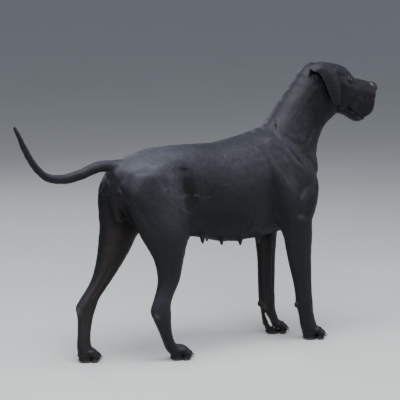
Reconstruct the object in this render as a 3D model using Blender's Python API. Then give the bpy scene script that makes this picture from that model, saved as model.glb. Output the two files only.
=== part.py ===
"""A great dane bitch standing with her tail raised, life size, as a still museum model.

The dog faces +X with her left side at +Y, and stands on the plane Z = 0. All sizes are in metres.
"""

import math
from collections import namedtuple

import bmesh
import bpy
from mathutils import Matrix, Vector

# Driving dimensions
GAP = 0.0003  # between nodes that meet face to face
MID_X = 0.010  # the middle of her length, measured from the drawing's own zero
BODY_VOXEL = 0.0070
SOFTENED_BY = 0.0008
HEAD_VOXEL = 0.0036
PAW_VOXEL = 0.0034
BODY_FACES = 4300
HEAD_FACES = 2900
PAW_FACES = 430
EYE_RADIUS = 0.0145
LID_THICK = 0.0024
EAR_THICK = 0.0042
CLAW_LENGTH = 0.026
CLAW_RADIUS = 0.0042
TAIL_CUTS = (-0.392, -0.520, -0.640)
TEAT_PAIRS = 5
TEAT_FIRST_X = -0.103
TEAT_LAST_X = 0.226
TEAT_DROP = 0.012
HEAD_CUT = Vector((0.452, 0, 0.995))
HEAD_CUT_NORMAL = Vector((0.80, 0, 0.60)).normalized()
HEAD_PIVOT = Vector((0.500, 0, 0))  # where her head turns on the neck
HEAD_TURN = math.radians(-13)  # to her right
HEAD_LENGTH = 0.8876  # her head's true length over the length it is drawn with

BLACK_COAT = ("black_coat", (0.018, 0.018, 0.021), 0.42)
NOSE_LEATHER = ("nose_leather", (0.010, 0.010, 0.012), 0.35)
EYE_BROWN = ("eye_brown", (0.030, 0.014, 0.008), 0.08)
CLAW_HORN = ("claw_horn", (0.020, 0.018, 0.017), 0.38)

# A cross-section is drawn between a top and an under point of the side view, (x, z) each.
Section = namedtuple("Section", "top under width y egg power", defaults=(0.0, 0.0, 2.0))


# Shapes


def blend(a, b, c, d, t):
    """The smooth curve through b and c at t, as a and d lead into and out of them."""
    return 0.5 * (
        2 * b + (c - a) * t + (2 * a - 5 * b + 4 * c - d) * t**2 + (3 * b - a - 3 * c + d) * t**3
    )


def flat_numbers(section):
    return (*section.top, *section.under, section.width, section.y, section.egg, section.power)


def smooth_sections(sections, steps):
    """The sections with steps - 1 more between each two, on smooth curves."""
    rows = [flat_numbers(s) for s in sections]
    rows = [rows[0], *rows, rows[-1]]
    out = []
    for i in range(1, len(rows) - 2):
        for step in range(steps):
            t = step / steps
            out.append([blend(*four, t) for four in zip(*rows[i - 1 : i + 3])])
    out.append(list(rows[-2]))
    return out


def ring(row, sides, shrink=1.0, push=Vector()):
    """The points round one section: a superellipse, wider above its middle where egg is above 0."""
    tx, tz, ux, uz, width, y, egg, power = row
    middle = Vector(((tx + ux) / 2, y, (tz + uz) / 2)) + push
    half = Vector(((tx - ux) / 2, 0, (tz - uz) / 2)) * shrink
    points = []
    for i in range(sides):
        angle = 2 * math.pi * i / sides
        up, out = math.cos(angle), math.sin(angle)
        up = math.copysign(abs(up) ** (2 / power), up)
        out = math.copysign(abs(out) ** (2 / power), out)
        side = Vector((0, out * width * shrink * (1 + egg * up), 0))
        points.append(middle + half * up + side)
    return points


def middle_of(row):
    return Vector(((row[0] + row[2]) / 2, row[5], (row[1] + row[3]) / 2))


def cap_rings(row, inner, length, sides):
    """Rings that round off an end, and the pole beyond them."""
    away = (middle_of(row) - middle_of(inner)).normalized() * length
    rings = []
    for degrees in (28, 56, 76):
        turn = math.radians(degrees)
        rings.append(ring(row, sides, math.cos(turn), away * math.sin(turn)))
    return rings, middle_of(row) + away


def loft(bm, sections, caps, sides=24, steps=3):
    """A closed skin through the sections, with rounded ends of the lengths in caps."""
    rows = smooth_sections(sections, steps)
    first, first_pole = cap_rings(rows[0], rows[1], caps[0], sides)
    last, last_pole = cap_rings(rows[-1], rows[-2], caps[1], sides)
    rings = [*reversed(first), *(ring(r, sides) for r in rows), *last]
    rings = [[bm.verts.new(p) for p in points] for points in rings]
    faces = []
    for low, high in zip(rings, rings[1:]):
        for i in range(sides):
            j = (i + 1) % sides
            faces.append(bm.faces.new((low[i], low[j], high[j], high[i])))
    for end, pole in ((rings[0], first_pole), (rings[-1], last_pole)):
        tip = bm.verts.new(pole)
        for i in range(sides):
            faces.append(bm.faces.new((end[i], end[(i + 1) % sides], tip)))
    bmesh.ops.recalc_face_normals(bm, faces=faces)


def muscle(bm, start, end, thick, wide, side=1):
    """An egg-shaped muscle between two points: thick is half its reach along Y, wide half its other."""
    a = Vector((start[0], start[1] * side, start[2]))
    b = Vector((end[0], end[1] * side, end[2]))
    along = (b - a).normalized()
    across = (Vector((0, 1, 0)) - along * along.y).normalized()
    third = along.cross(across)
    turn = Matrix((along, across, third)).transposed().to_4x4()
    size = Matrix.Diagonal(((b - a).length / 2, thick, wide, 1))
    place = Matrix.Translation((a + b) / 2) @ turn @ size
    bmesh.ops.create_uvsphere(bm, u_segments=16, v_segments=10, radius=1, matrix=place)


def object_from(bm, name):
    mesh = bpy.data.meshes.new(name)
    bm.to_mesh(mesh)
    bm.free()
    piece = bpy.data.objects.new(name, mesh)
    bpy.context.scene.collection.objects.link(piece)
    return piece


def remove(piece):
    mesh = piece.data
    bpy.data.objects.remove(piece)
    bpy.data.meshes.remove(mesh)


def bake(piece):
    """Applies the piece's modifiers."""
    graph = bpy.context.evaluated_depsgraph_get()
    mesh = bpy.data.meshes.new_from_object(piece.evaluated_get(graph), depsgraph=graph)
    old = piece.data
    piece.modifiers.clear()
    piece.data = mesh
    bpy.data.meshes.remove(old)


def copy_of(piece, name):
    twin = bpy.data.objects.new(name, piece.data.copy())
    bpy.context.scene.collection.objects.link(twin)
    return twin


def fuse(bm, name, voxel, smooth, faces, softness=None, regain=0.0):
    """Joins the overlapping forms into one skin, softens their joins and thins its faces out.

    Where softness is given, it says for a point how far it is softened, from 0 to 1. The skin then
    moves out again by regain, the thickness that softening takes off a limb.
    """
    piece = object_from(bm, name)
    remesh = piece.modifiers.new("fuse", "REMESH")
    remesh.mode = "VOXEL"
    remesh.voxel_size = voxel
    bake(piece)
    keep_largest(piece)
    soften = piece.modifiers.new("soften", "SMOOTH")
    soften.factor = 0.5
    soften.iterations = smooth
    if softness:
        group = piece.vertex_groups.new(name="softness")
        for vertex in piece.data.vertices:
            group.add([vertex.index], softness(vertex.co), "REPLACE")
        soften.vertex_group = group.name
    if regain:
        swell = piece.modifiers.new("regain", "DISPLACE")
        swell.strength = regain
        swell.mid_level = 0
    bake(piece)
    piece.vertex_groups.clear()
    thin = piece.modifiers.new("thin", "DECIMATE")
    thin.ratio = min(1.0, faces / (2 * len(piece.data.polygons)))
    thin.use_collapse_triangulate = True
    bake(piece)
    return piece


def keep_largest(piece):
    """Keeps the piece's largest closed surface."""
    bm = bmesh.new()
    bm.from_mesh(piece.data)
    left = set(bm.verts)
    groups = []
    while left:
        group = {left.pop()}
        edge = list(group)
        while edge:
            near = {e.other_vert(v) for v in edge for e in v.link_edges} - group
            group |= near
            edge = list(near)
        left -= group
        groups.append(group)
    groups.sort(key=len)
    for group in groups[:-1]:
        bmesh.ops.delete(bm, geom=list(group), context="VERTS")
    bm.to_mesh(piece.data)
    bm.free()


def boolean(piece, cutter, operation):
    cut = piece.modifiers.new("cut", "BOOLEAN")
    cut.operation = operation
    cut.object = cutter
    bake(piece)
    keep_largest(piece)


def swollen(piece, by):
    """A copy whose skin lies further out by the given length."""
    fat = copy_of(piece, piece.name + "_swollen")
    push = fat.modifiers.new("swell", "DISPLACE")
    push.strength = by
    push.mid_level = 0
    bake(fat)
    return fat


def block(name, profile, low_y, high_y):
    """A prism: a convex outline in the side view, from one Y to another."""
    bm = bmesh.new()
    face = bm.faces.new([bm.verts.new((x, low_y, z)) for x, z in profile])
    made = bmesh.ops.extrude_face_region(bm, geom=[face])["geom"]
    verts = [v for v in made if isinstance(v, bmesh.types.BMVert)]
    bmesh.ops.translate(bm, verts=verts, vec=(0, high_y - low_y, 0))
    bmesh.ops.recalc_face_normals(bm, faces=bm.faces)
    return object_from(bm, name)


def wedge(name, profile, low_x, high_x):
    """A prism: a convex outline in the front view, (y, z), from one X to another."""
    bm = bmesh.new()
    face = bm.faces.new([bm.verts.new((low_x, y, z)) for y, z in profile])
    made = bmesh.ops.extrude_face_region(bm, geom=[face])["geom"]
    verts = [v for v in made if isinstance(v, bmesh.types.BMVert)]
    bmesh.ops.translate(bm, verts=verts, vec=(high_x - low_x, 0, 0))
    bmesh.ops.recalc_face_normals(bm, faces=bm.faces)
    return object_from(bm, name)


def take(whole, cutter, name, shift):
    """Parts the whole: what the cutter holds becomes a node, moved back by shift to leave the gap."""
    node = copy_of(whole, name)
    boolean(whole, cutter, "DIFFERENCE")
    cutter.data.transform(Matrix.Translation(shift))
    boolean(node, cutter, "INTERSECT")
    remove(cutter)
    return node


def split(whole, name, point, normal):
    """Parts the whole by a plane: what lies on the normal's side becomes the named node."""
    normal = Vector(normal).normalized()
    turn = normal.to_track_quat("Z", "Y").to_matrix().to_4x4()
    bm = bmesh.new()
    bmesh.ops.create_cube(bm, size=1, matrix=Matrix.Translation((0, 0, 0.5)))
    bmesh.ops.scale(bm, verts=bm.verts, vec=(3, 3, 3))
    bmesh.ops.transform(bm, verts=bm.verts, matrix=Matrix.Translation(point) @ turn)
    return take(whole, object_from(bm, name + "_side"), name, normal * GAP)


# The trunk and the neck


def trunk_forms(bm):
    loft(
        bm,
        [
            Section((-0.366, 0.695), (-0.366, 0.625), 0.040),
            Section((-0.335, 0.717), (-0.340, 0.560), 0.078),
            Section((-0.285, 0.736), (-0.285, 0.500), 0.104, egg=0.05),
            Section((-0.210, 0.752), (-0.200, 0.455), 0.113, egg=0.10),
            Section((-0.120, 0.757), (-0.110, 0.432), 0.110, egg=0.10),
            Section((-0.030, 0.757), (-0.020, 0.420), 0.108, egg=0.05),
            Section((0.060, 0.756), (0.060, 0.399), 0.121, egg=0.05),
            Section((0.150, 0.769), (0.140, 0.390), 0.130, egg=0.10),
            Section((0.215, 0.783), (0.215, 0.394), 0.128, egg=0.10),
            Section((0.300, 0.800), (0.290, 0.400), 0.120, egg=0.05),
            Section((0.370, 0.760), (0.360, 0.415), 0.108),
            Section((0.430, 0.700), (0.420, 0.455), 0.085),
        ],
        caps=(0.020, 0.045),
        sides=32,
    )


def neck_forms(bm):
    loft(
        bm,
        [
            Section((0.236, 0.770), (0.476, 0.575), 0.098),
            Section((0.284, 0.806), (0.504, 0.664), 0.086),
            Section((0.320, 0.844), (0.512, 0.712), 0.077),
            Section((0.364, 0.900), (0.533, 0.762), 0.070),
            Section((0.408, 0.954), (0.554, 0.792), 0.065, y=-0.003),
            Section((0.452, 1.007), (0.583, 0.815), 0.061, y=-0.007),
            Section((0.492, 1.029), (0.612, 0.835), 0.057, y=-0.010),
        ],
        caps=(0.030, 0.020),
        sides=28,
    )


def shoulder_forms(bm, side):
    muscle(bm, (0.235, 0.066, 0.765), (0.452, 0.094, 0.560), 0.036, 0.060, side)
    muscle(bm, (0.290, 0.090, 0.690), (0.332, 0.094, 0.400), 0.036, 0.062, side)
    muscle(bm, (0.440, 0.082, 0.640), (0.370, 0.088, 0.400), 0.040, 0.052, side)
    muscle(bm, (0.432, 0.030, 0.640), (0.415, 0.050, 0.420), 0.045, 0.045, side)
    muscle(bm, (0.430, 0.042, 0.740), (0.452, 0.066, 0.590), 0.034, 0.040, side)


def rump_forms(bm, side):
    muscle(bm, (-0.140, 0.066, 0.705), (-0.376, 0.048, 0.600), 0.056, 0.058, side)
    muscle(bm, (-0.140, 0.086, 0.690), (-0.155, 0.092, 0.430), 0.030, 0.040, side)


# The legs, section by section from the top down


def foreleg_sections(side):
    if side < 0:
        return [
            Section((0.432, 0.460), (0.312, 0.460), 0.040, y=-0.088),
            Section((0.436, 0.403), (0.314, 0.410), 0.038, y=-0.087),
            Section((0.436, 0.369), (0.322, 0.369), 0.034, y=-0.086),
            Section((0.435, 0.311), (0.336, 0.311), 0.030, y=-0.085),
            Section((0.439, 0.234), (0.359, 0.234), 0.026, y=-0.083),
            Section((0.442, 0.180), (0.373, 0.176), 0.026, y=-0.082),
            Section((0.446, 0.142), (0.378, 0.138), 0.029, y=-0.081),
            Section((0.450, 0.104), (0.391, 0.098), 0.026, y=-0.081),
            Section((0.460, 0.070), (0.399, 0.062), 0.028, y=-0.080),
            Section((0.470, 0.045), (0.408, 0.035), 0.032, y=-0.080),
        ]
    return [
        Section((0.405, 0.460), (0.298, 0.460), 0.040, y=0.084),
        Section((0.400, 0.403), (0.304, 0.403), 0.037, y=0.082),
        Section((0.394, 0.345), (0.312, 0.335), 0.032, y=0.080),
        Section((0.390, 0.288), (0.317, 0.288), 0.028, y=0.079),
        Section((0.388, 0.212), (0.318, 0.212), 0.026, y=0.077),
        Section((0.386, 0.170), (0.319, 0.170), 0.027, y=0.076),
        Section((0.386, 0.136), (0.322, 0.134), 0.029, y=0.075),
        Section((0.388, 0.100), (0.331, 0.092), 0.026, y=0.075),
        Section((0.398, 0.068), (0.336, 0.060), 0.028, y=0.074),
        Section((0.408, 0.045), (0.342, 0.035), 0.032, y=0.074),
    ]


def hindleg_sections(side):
    if side < 0:
        return [
            Section((-0.150, 0.660), (-0.345, 0.670), 0.046, y=-0.076),
            Section((-0.122, 0.600), (-0.366, 0.610), 0.050, y=-0.080),
            Section((-0.101, 0.530), (-0.341, 0.540), 0.052, y=-0.084),
            Section((-0.108, 0.470), (-0.313, 0.475), 0.050, y=-0.087),
            Section((-0.118, 0.430), (-0.282, 0.425), 0.047, y=-0.088),
            Section((-0.128, 0.390), (-0.254, 0.380), 0.042, y=-0.088),
            Section((-0.137, 0.345), (-0.237, 0.335), 0.036, y=-0.086),
            Section((-0.147, 0.290), (-0.232, 0.290), 0.029, y=-0.084),
            Section((-0.169, 0.242), (-0.241, 0.245), 0.025, y=-0.081),
            Section((-0.180, 0.205), (-0.253, 0.212), 0.024, y=-0.079),
            Section((-0.177, 0.170), (-0.258, 0.182), 0.024, y=-0.077),
            Section((-0.176, 0.142), (-0.243, 0.150), 0.023, y=-0.075),
            Section((-0.172, 0.108), (-0.223, 0.112), 0.021, y=-0.073),
            Section((-0.163, 0.075), (-0.206, 0.075), 0.021, y=-0.072),
            Section((-0.145, 0.052), (-0.193, 0.046), 0.025, y=-0.071),
            Section((-0.130, 0.038), (-0.180, 0.028), 0.029, y=-0.071),
        ]
    return [
        Section((-0.150, 0.660), (-0.345, 0.670), 0.046, y=0.076),
        Section((-0.134, 0.600), (-0.373, 0.610), 0.050, y=0.080),
        Section((-0.148, 0.530), (-0.371, 0.540), 0.052, y=0.084),
        Section((-0.182, 0.470), (-0.364, 0.475), 0.050, y=0.087),
        Section((-0.222, 0.429), (-0.367, 0.429), 0.048, y=0.088),
        Section((-0.246, 0.385), (-0.373, 0.378), 0.043, y=0.088),
        Section((-0.291, 0.325), (-0.388, 0.317), 0.035, y=0.087),
        Section((-0.331, 0.275), (-0.413, 0.268), 0.029, y=0.086),
        Section((-0.372, 0.226), (-0.448, 0.226), 0.025, y=0.085),
        Section((-0.389, 0.190), (-0.467, 0.196), 0.024, y=0.084),
        Section((-0.403, 0.154), (-0.461, 0.158), 0.023, y=0.083),
        Section((-0.413, 0.101), (-0.462, 0.103), 0.021, y=0.082),
        Section((-0.413, 0.068), (-0.465, 0.062), 0.023, y=0.081),
        Section((-0.405, 0.045), (-0.462, 0.035), 0.028, y=0.081),
    ]


def leg_loft(bm, sections):
    loft(bm, sections, caps=(0.030, 0.012), sides=22)


def elbow_forms(bm):
    muscle(bm, (0.330, -0.092, 0.455), (0.327, -0.090, 0.385), 0.026, 0.022)
    muscle(bm, (0.312, 0.088, 0.450), (0.312, 0.086, 0.380), 0.026, 0.022)


def stopper_forms(bm):
    """The small stopper pad behind each carpus."""
    muscle(bm, (0.380, -0.081, 0.152), (0.374, -0.081, 0.126), 0.010, 0.010)
    muscle(bm, (0.324, 0.075, 0.136), (0.321, 0.075, 0.108), 0.010, 0.010)


def perineum_forms(bm):
    """The anus under the tail's root, and the vulva below it."""
    muscle(bm, (-0.366, 0.0, 0.682), (-0.366, 0.0, 0.636), 0.020, 0.016)
    muscle(bm, (-0.352, 0.0, 0.660), (-0.352, 0.0, 0.540), 0.026, 0.024)
    muscle(bm, (-0.352, 0.0, 0.590), (-0.334, 0.0, 0.494), 0.017, 0.024)


# The paws

Paw = namedtuple("Paw", "name side x y reach wide sections")


def paws():
    """Each paw's name, side, the middle of its ball, how far its toes reach and half their spread."""
    return (
        Paw("forepaw_right", -1, 0.432, -0.080, 0.068, 0.033, foreleg_sections(-1)),
        Paw("forepaw_left", 1, 0.372, 0.074, 0.068, 0.033, foreleg_sections(1)),
        Paw("hindpaw_right", -1, -0.153, -0.071, 0.062, 0.029, hindleg_sections(-1)),
        Paw("hindpaw_left", 1, -0.441, 0.081, 0.062, 0.029, hindleg_sections(1)),
    )


def toes(paw):
    """The four toes of a paw, from the inner to the outer: where each tip is, and how long it is."""
    for number in range(4):
        spread = (number - 1.5) / 1.5
        middle = 1 - abs(spread)
        tip_x = paw.x + paw.reach * (0.74 + 0.42 * middle)
        yield number + 1, Vector((tip_x, paw.y + spread * paw.wide, 0)), 0.044 + 0.020 * middle


def paw_forms(bm, paw):
    leg_loft(bm, paw.sections[-5:])
    muscle(bm, (paw.x - 0.024, paw.y, 0.012), (paw.x + 0.034, paw.y, 0.010), paw.wide * 0.92, 0.016)
    muscle(bm, (paw.x - 0.022, paw.y, 0.040), (paw.x + 0.052, paw.y, 0.030), paw.wide * 1.0, 0.022)
    for _, tip, length in toes(paw):
        root = (tip.x - length, paw.y + (tip.y - paw.y) * 0.72, 0.038)
        knuckle = (tip.x - 0.012, tip.y, 0.034)
        muscle(bm, root, knuckle, 0.0125, 0.0125)
        muscle(bm, (tip.x - 0.030, tip.y, 0.034), (tip.x + 0.002, tip.y, 0.012), 0.0118, 0.0125)
        muscle(bm, (tip.x - 0.030, tip.y, 0.008), (tip.x - 0.001, tip.y, 0.008), 0.0100, 0.0105)


def claw(name, tip, drop, yaw):
    """A claw that leaves the toe forwards and curves down to its blunt tip."""
    bm = bmesh.new()
    sides = 6
    rings = []
    for step in range(4):
        t = step / 3
        bend = math.radians(-8 - 42 * t)
        centre = Vector((CLAW_LENGTH * (t - 0.12 * t * t), 0, -0.0085 * t * t))
        radius = CLAW_RADIUS * (1 - 0.72 * t)
        turn = Matrix.Rotation(-bend, 4, "Y")
        points = []
        for i in range(sides):
            angle = 2 * math.pi * i / sides
            spot = Vector((0, 0.82 * radius * math.cos(angle), 1.15 * radius * math.sin(angle)))
            points.append(bm.verts.new(centre + turn @ spot))
        rings.append(points)
    for low, high in zip(rings, rings[1:]):
        for i in range(sides):
            j = (i + 1) % sides
            bm.faces.new((low[i], low[j], high[j], high[i]))
    bm.faces.new(rings[0])
    bm.faces.new(rings[-1])
    bmesh.ops.recalc_face_normals(bm, faces=bm.faces)
    place = Matrix.Translation(tip + Vector((-0.011, 0, drop))) @ Matrix.Rotation(yaw, 4, "Z")
    bmesh.ops.transform(bm, verts=bm.verts, matrix=place)
    return object_from(bm, name)


# The head


def head_turn():
    return Matrix.Rotation(HEAD_TURN, 4, "Z")


def head_place():
    """From the head as it is drawn, straight and long, to how she carries it."""
    length = Matrix.Diagonal((HEAD_LENGTH, 1, 1, 1))
    return Matrix.Translation(HEAD_PIVOT) @ head_turn() @ length @ Matrix.Translation(-HEAD_PIVOT)


def skull_forms(bm):
    loft(
        bm,
        [
            Section((0.508, 1.022), (0.575, 0.865), 0.057),
            Section((0.530, 1.027), (0.600, 0.852), 0.063, egg=0.10),
            Section((0.566, 1.026), (0.625, 0.842), 0.067, egg=0.12),
            Section((0.606, 1.019), (0.650, 0.836), 0.064, egg=0.12),
            Section((0.640, 1.009), (0.670, 0.836), 0.055, egg=0.06),
            Section((0.668, 0.989), (0.690, 0.838), 0.047),
            Section((0.690, 0.966), (0.705, 0.842), 0.044),
            Section((0.720, 0.958), (0.722, 0.846), 0.044),
            Section((0.752, 0.951), (0.748, 0.850), 0.042),
            Section((0.776, 0.942), (0.770, 0.858), 0.036),
        ],
        caps=(0.020, 0.018),
        sides=28,
    )


def jaw_forms(bm):
    """The lower jaw, whose lip shows a little below the flews."""
    loft(
        bm,
        [
            Section((0.600, 0.880), (0.612, 0.832), 0.034),
            Section((0.640, 0.870), (0.648, 0.824), 0.034),
            Section((0.675, 0.850), (0.682, 0.806), 0.030),
            Section((0.705, 0.838), (0.708, 0.797), 0.027),
            Section((0.732, 0.836), (0.732, 0.802), 0.024),
        ],
        caps=(0.015, 0.014),
        sides=18,
    )


def flew_forms(bm, side):
    """The hanging upper lip of one side, deepest a little behind the front of the muzzle."""
    muscle(bm, (0.760, 0.020, 0.925), (0.742, 0.026, 0.819), 0.018, 0.030, side)
    muscle(bm, (0.730, 0.028, 0.930), (0.722, 0.031, 0.812), 0.016, 0.037, side)
    muscle(bm, (0.696, 0.032, 0.920), (0.698, 0.032, 0.812), 0.015, 0.034, side)
    muscle(bm, (0.774, 0.010, 0.915), (0.761, 0.016, 0.842), 0.017, 0.018, side)


def cheek_forms(bm, side):
    muscle(bm, (0.584, 0.044, 0.965), (0.632, 0.042, 0.850), 0.020, 0.040, side)
    muscle(bm, (0.540, 0.040, 0.985), (0.640, 0.040, 0.978), 0.022, 0.026, side)
    muscle(bm, (0.600, 0.034, 0.992), (0.656, 0.031, 0.973), 0.014, 0.012, side)
    muscle(bm, (0.610, 0.050, 0.938), (0.690, 0.036, 0.926), 0.009, 0.013, side)


def ear_lobe(bm, side):
    """The small lobe at the foot of the ear's cup, behind the flap."""
    shift = LEFT_EAR_SHIFT if side > 0 else Vector()
    top = Vector((0.484, 0.058, 0.990)) + shift
    foot = Vector((0.498, 0.063, 0.950)) + shift
    muscle(bm, top, foot, 0.007, 0.011, side)


def eye_centre(side):
    return head_place() @ Vector((0.646, 0.0430 * side, 0.959))


def eye_forward(side):
    return head_turn() @ Vector((0.68, 0.73 * side, 0.05)).normalized()


def ball(name, centre, radius, segments):
    bm = bmesh.new()
    place = Matrix.Translation(centre)
    rings = segments // 2 + 1
    bmesh.ops.create_uvsphere(bm, u_segments=segments, v_segments=rings, radius=radius, matrix=place)
    return object_from(bm, name)


def lid_opening(side):
    """The almond between the lids, as a cutter that runs outwards from the eyeball."""
    bm = bmesh.new()
    half_long, half_high = 0.0125, 0.0068
    points = []
    for i in range(20):
        angle = 2 * math.pi * i / 20
        across = half_long * math.cos(angle)
        lift = half_high * math.sin(angle) * (1 - 0.35 * abs(math.cos(angle)))
        points.append(Vector((across, lift, 0)))
    face = bm.faces.new([bm.verts.new(p) for p in points])
    made = bmesh.ops.extrude_face_region(bm, geom=[face])["geom"]
    verts = [v for v in made if isinstance(v, bmesh.types.BMVert)]
    bmesh.ops.translate(bm, verts=verts, vec=(0, 0, 0.030))
    bmesh.ops.recalc_face_normals(bm, faces=bm.faces)
    turn = eye_forward(side).to_track_quat("Z", "Y").to_matrix().to_4x4()
    bmesh.ops.transform(bm, verts=bm.verts, matrix=Matrix.Translation(eye_centre(side)) @ turn)
    return object_from(bm, "lid_opening")


def mouth_groove(side):
    """The line between the lips: a thin bent blade that enters the head from its side."""
    bm = bmesh.new()
    line = ((0.640, 0.866), (0.662, 0.846), (0.690, 0.826), (0.722, 0.815), (0.752, 0.812))
    half = 0.0011
    upper, lower = [], []
    for x, z in line:
        upper.append((x, z + half))
        lower.append((x, z - half))
    outline = upper + lower[::-1]
    low, high = sorted((0.019 * side, 0.080 * side))
    face = bm.faces.new([bm.verts.new((x, low, z)) for x, z in outline])
    made = bmesh.ops.extrude_face_region(bm, geom=[face])["geom"]
    verts = [v for v in made if isinstance(v, bmesh.types.BMVert)]
    bmesh.ops.translate(bm, verts=verts, vec=(0, high - low, 0))
    bmesh.ops.recalc_face_normals(bm, faces=bm.faces)
    bmesh.ops.transform(bm, verts=bm.verts, matrix=head_place())
    return object_from(bm, "mouth_groove")


def nose():
    """The nose leather, with its two nostrils and the groove between them."""
    bm = bmesh.new()
    loft(
        bm,
        [
            Section((0.754, 0.946), (0.758, 0.900), 0.020),
            Section((0.772, 0.948), (0.775, 0.901), 0.0255, power=2.4),
            Section((0.790, 0.943), (0.789, 0.905), 0.0245, power=2.4),
        ],
        caps=(0.010, 0.009),
        sides=20,
    )
    for side in (1, -1):
        muscle(bm, (0.766, 0.019, 0.921), (0.798, 0.015, 0.921), 0.0085, 0.0120, side)
    leather = fuse(bm, "nose", 0.0022, 3, 360)
    for side in (1, -1):
        bm = bmesh.new()
        muscle(bm, (0.780, 0.0125, 0.924), (0.809, 0.0110, 0.923), 0.0050, 0.0052, side)
        muscle(bm, (0.778, 0.0290, 0.914), (0.800, 0.0140, 0.920), 0.0034, 0.0028, side)
        cutter = fuse(bm, "nostril", 0.0014, 2, 80)
        boolean(leather, cutter, "DIFFERENCE")
        remove(cutter)
    leather.data.transform(head_place())
    return leather


def head():
    bm = bmesh.new()
    skull_forms(bm)
    jaw_forms(bm)
    muscle(bm, (0.775, 0.0, 0.915), (0.746, 0.0, 0.818), 0.027, 0.020)
    for side in (1, -1):
        flew_forms(bm, side)
        cheek_forms(bm, side)
        ear_lobe(bm, side)
    bmesh.ops.transform(bm, verts=bm.verts, matrix=head_place())
    neck_forms(bm)
    skull = fuse(bm, "head", HEAD_VOXEL, 6, HEAD_FACES)
    for side in (1, -1):
        lids = ball("lids", eye_centre(side), EYE_RADIUS + LID_THICK, 20)
        boolean(skull, lids, "UNION")
        remove(lids)
    return skull


LEFT_EAR_SHIFT = Vector((0.026, 0, -0.014))  # her left ear hangs further forward than the right

# The right ear from its root on the skull to its tip: its rear edge, its middle and its front edge
EAR_STOPS = (
    ((0.462, 0.048, 0.964), (0.508, 0.040, 1.002), (0.555, 0.052, 0.998)),
    ((0.458, 0.063, 1.004), (0.502, 0.065, 1.026), (0.556, 0.060, 1.012)),
    ((0.465, 0.079, 0.998), (0.509, 0.082, 1.010), (0.562, 0.068, 1.001)),
    ((0.492, 0.0815, 0.989), (0.529, 0.0845, 0.993), (0.574, 0.07, 0.991)),
    ((0.515, 0.080, 0.959), (0.540, 0.084, 0.968), (0.582, 0.0705, 0.967)),
    ((0.538, 0.075, 0.919), (0.564, 0.077, 0.918), (0.596, 0.071, 0.920)),
    ((0.563, 0.0725, 0.875), (0.578, 0.073, 0.868), (0.591, 0.071, 0.875)),
)


def ear(name, side):
    """A natural drop ear: a cup that opens backwards at its root, and a flap folded down the cheek."""
    rows, columns = 14, 9
    bm = bmesh.new()
    grid = []
    for row in range(rows):
        u = row / (rows - 1)
        line = []
        for column in range(columns):
            v = column / (columns - 1)
            line.append(bm.verts.new(ear_point(u, v, side)))
        grid.append(line)
    for a, b in zip(grid, grid[1:]):
        for i in range(columns - 1):
            bm.faces.new((a[i], a[i + 1], b[i + 1], b[i]))
    bmesh.ops.recalc_face_normals(bm, faces=bm.faces)
    piece = object_from(bm, name)
    thick = piece.modifiers.new("thick", "SOLIDIFY")
    thick.thickness = EAR_THICK
    thick.offset = 0
    split_faces = piece.modifiers.new("triangles", "TRIANGULATE")
    split_faces.quad_method = "BEAUTY"
    bake(piece)
    return piece


def ear_point(u, v, side):
    """A point of the ear's sheet: u runs from its root to its tip, v from its rear to its front edge."""
    place = u * (len(EAR_STOPS) - 1)
    i = min(int(place), len(EAR_STOPS) - 2)
    last = len(EAR_STOPS) - 1
    edges = []
    for line in range(3):
        four = [EAR_STOPS[min(max(k, 0), last)][line] for k in range(i - 1, i + 3)]
        edges.append(Vector([blend(*numbers, place - i) for numbers in zip(*four)]))
    rear, middle, front = edges
    bow = middle - (rear + front) / 2
    point = rear.lerp(front, v) + bow * 4 * v * (1 - v)
    point.y *= side
    if side > 0:
        point += LEFT_EAR_SHIFT
    return head_place() @ point


# The tail


def tail_sections():
    """The tail from its root to its tip: it leaves the croup level, then curves up."""
    return [
        Section((-0.330, 0.724), (-0.345, 0.668), 0.028),
        Section((-0.362, 0.723), (-0.368, 0.676), 0.025),
        Section((-0.395, 0.724), (-0.393, 0.683), 0.021),
        Section((-0.440, 0.719), (-0.432, 0.680), 0.018),
        Section((-0.500, 0.699), (-0.490, 0.662), 0.0165),
        Section((-0.560, 0.687), (-0.558, 0.653), 0.0155),
        Section((-0.618, 0.694), (-0.626, 0.667), 0.0145),
        Section((-0.660, 0.729), (-0.675, 0.709), 0.0135),
        Section((-0.694, 0.781), (-0.712, 0.769), 0.012),
        Section((-0.719, 0.827), (-0.733, 0.819), 0.0095),
        Section((-0.737, 0.857), (-0.747, 0.852), 0.0050),
    ]


def tail_loft(bm):
    loft(bm, tail_sections(), caps=(0.010, 0.012), sides=12, steps=2)


# Putting the dog together


def whole_body():
    bm = bmesh.new()
    trunk_forms(bm)
    neck_forms(bm)
    for side in (1, -1):
        shoulder_forms(bm, side)
        rump_forms(bm, side)
        leg_loft(bm, foreleg_sections(side))
        leg_loft(bm, hindleg_sections(side))
    elbow_forms(bm)
    stopper_forms(bm)
    perineum_forms(bm)
    loft(bm, tail_sections()[:5], caps=(0.010, 0.010), sides=20)
    body = fuse(bm, "torso", BODY_VOXEL, 12, BODY_FACES, trunk_softness, SOFTENED_BY)
    join_teats(body)
    return body


def trunk_softness(point):
    """The trunk's forms run into each other softly, and the thin legs and tail keep their sizes."""
    low, high = 0.36, 0.50
    rise = min(max((point.z - low) / (high - low), 0.0), 1.0)
    if point.x < -0.40 and point.z > 0.62:
        rise = 0.0
    return 0.3 + 0.7 * rise


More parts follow.
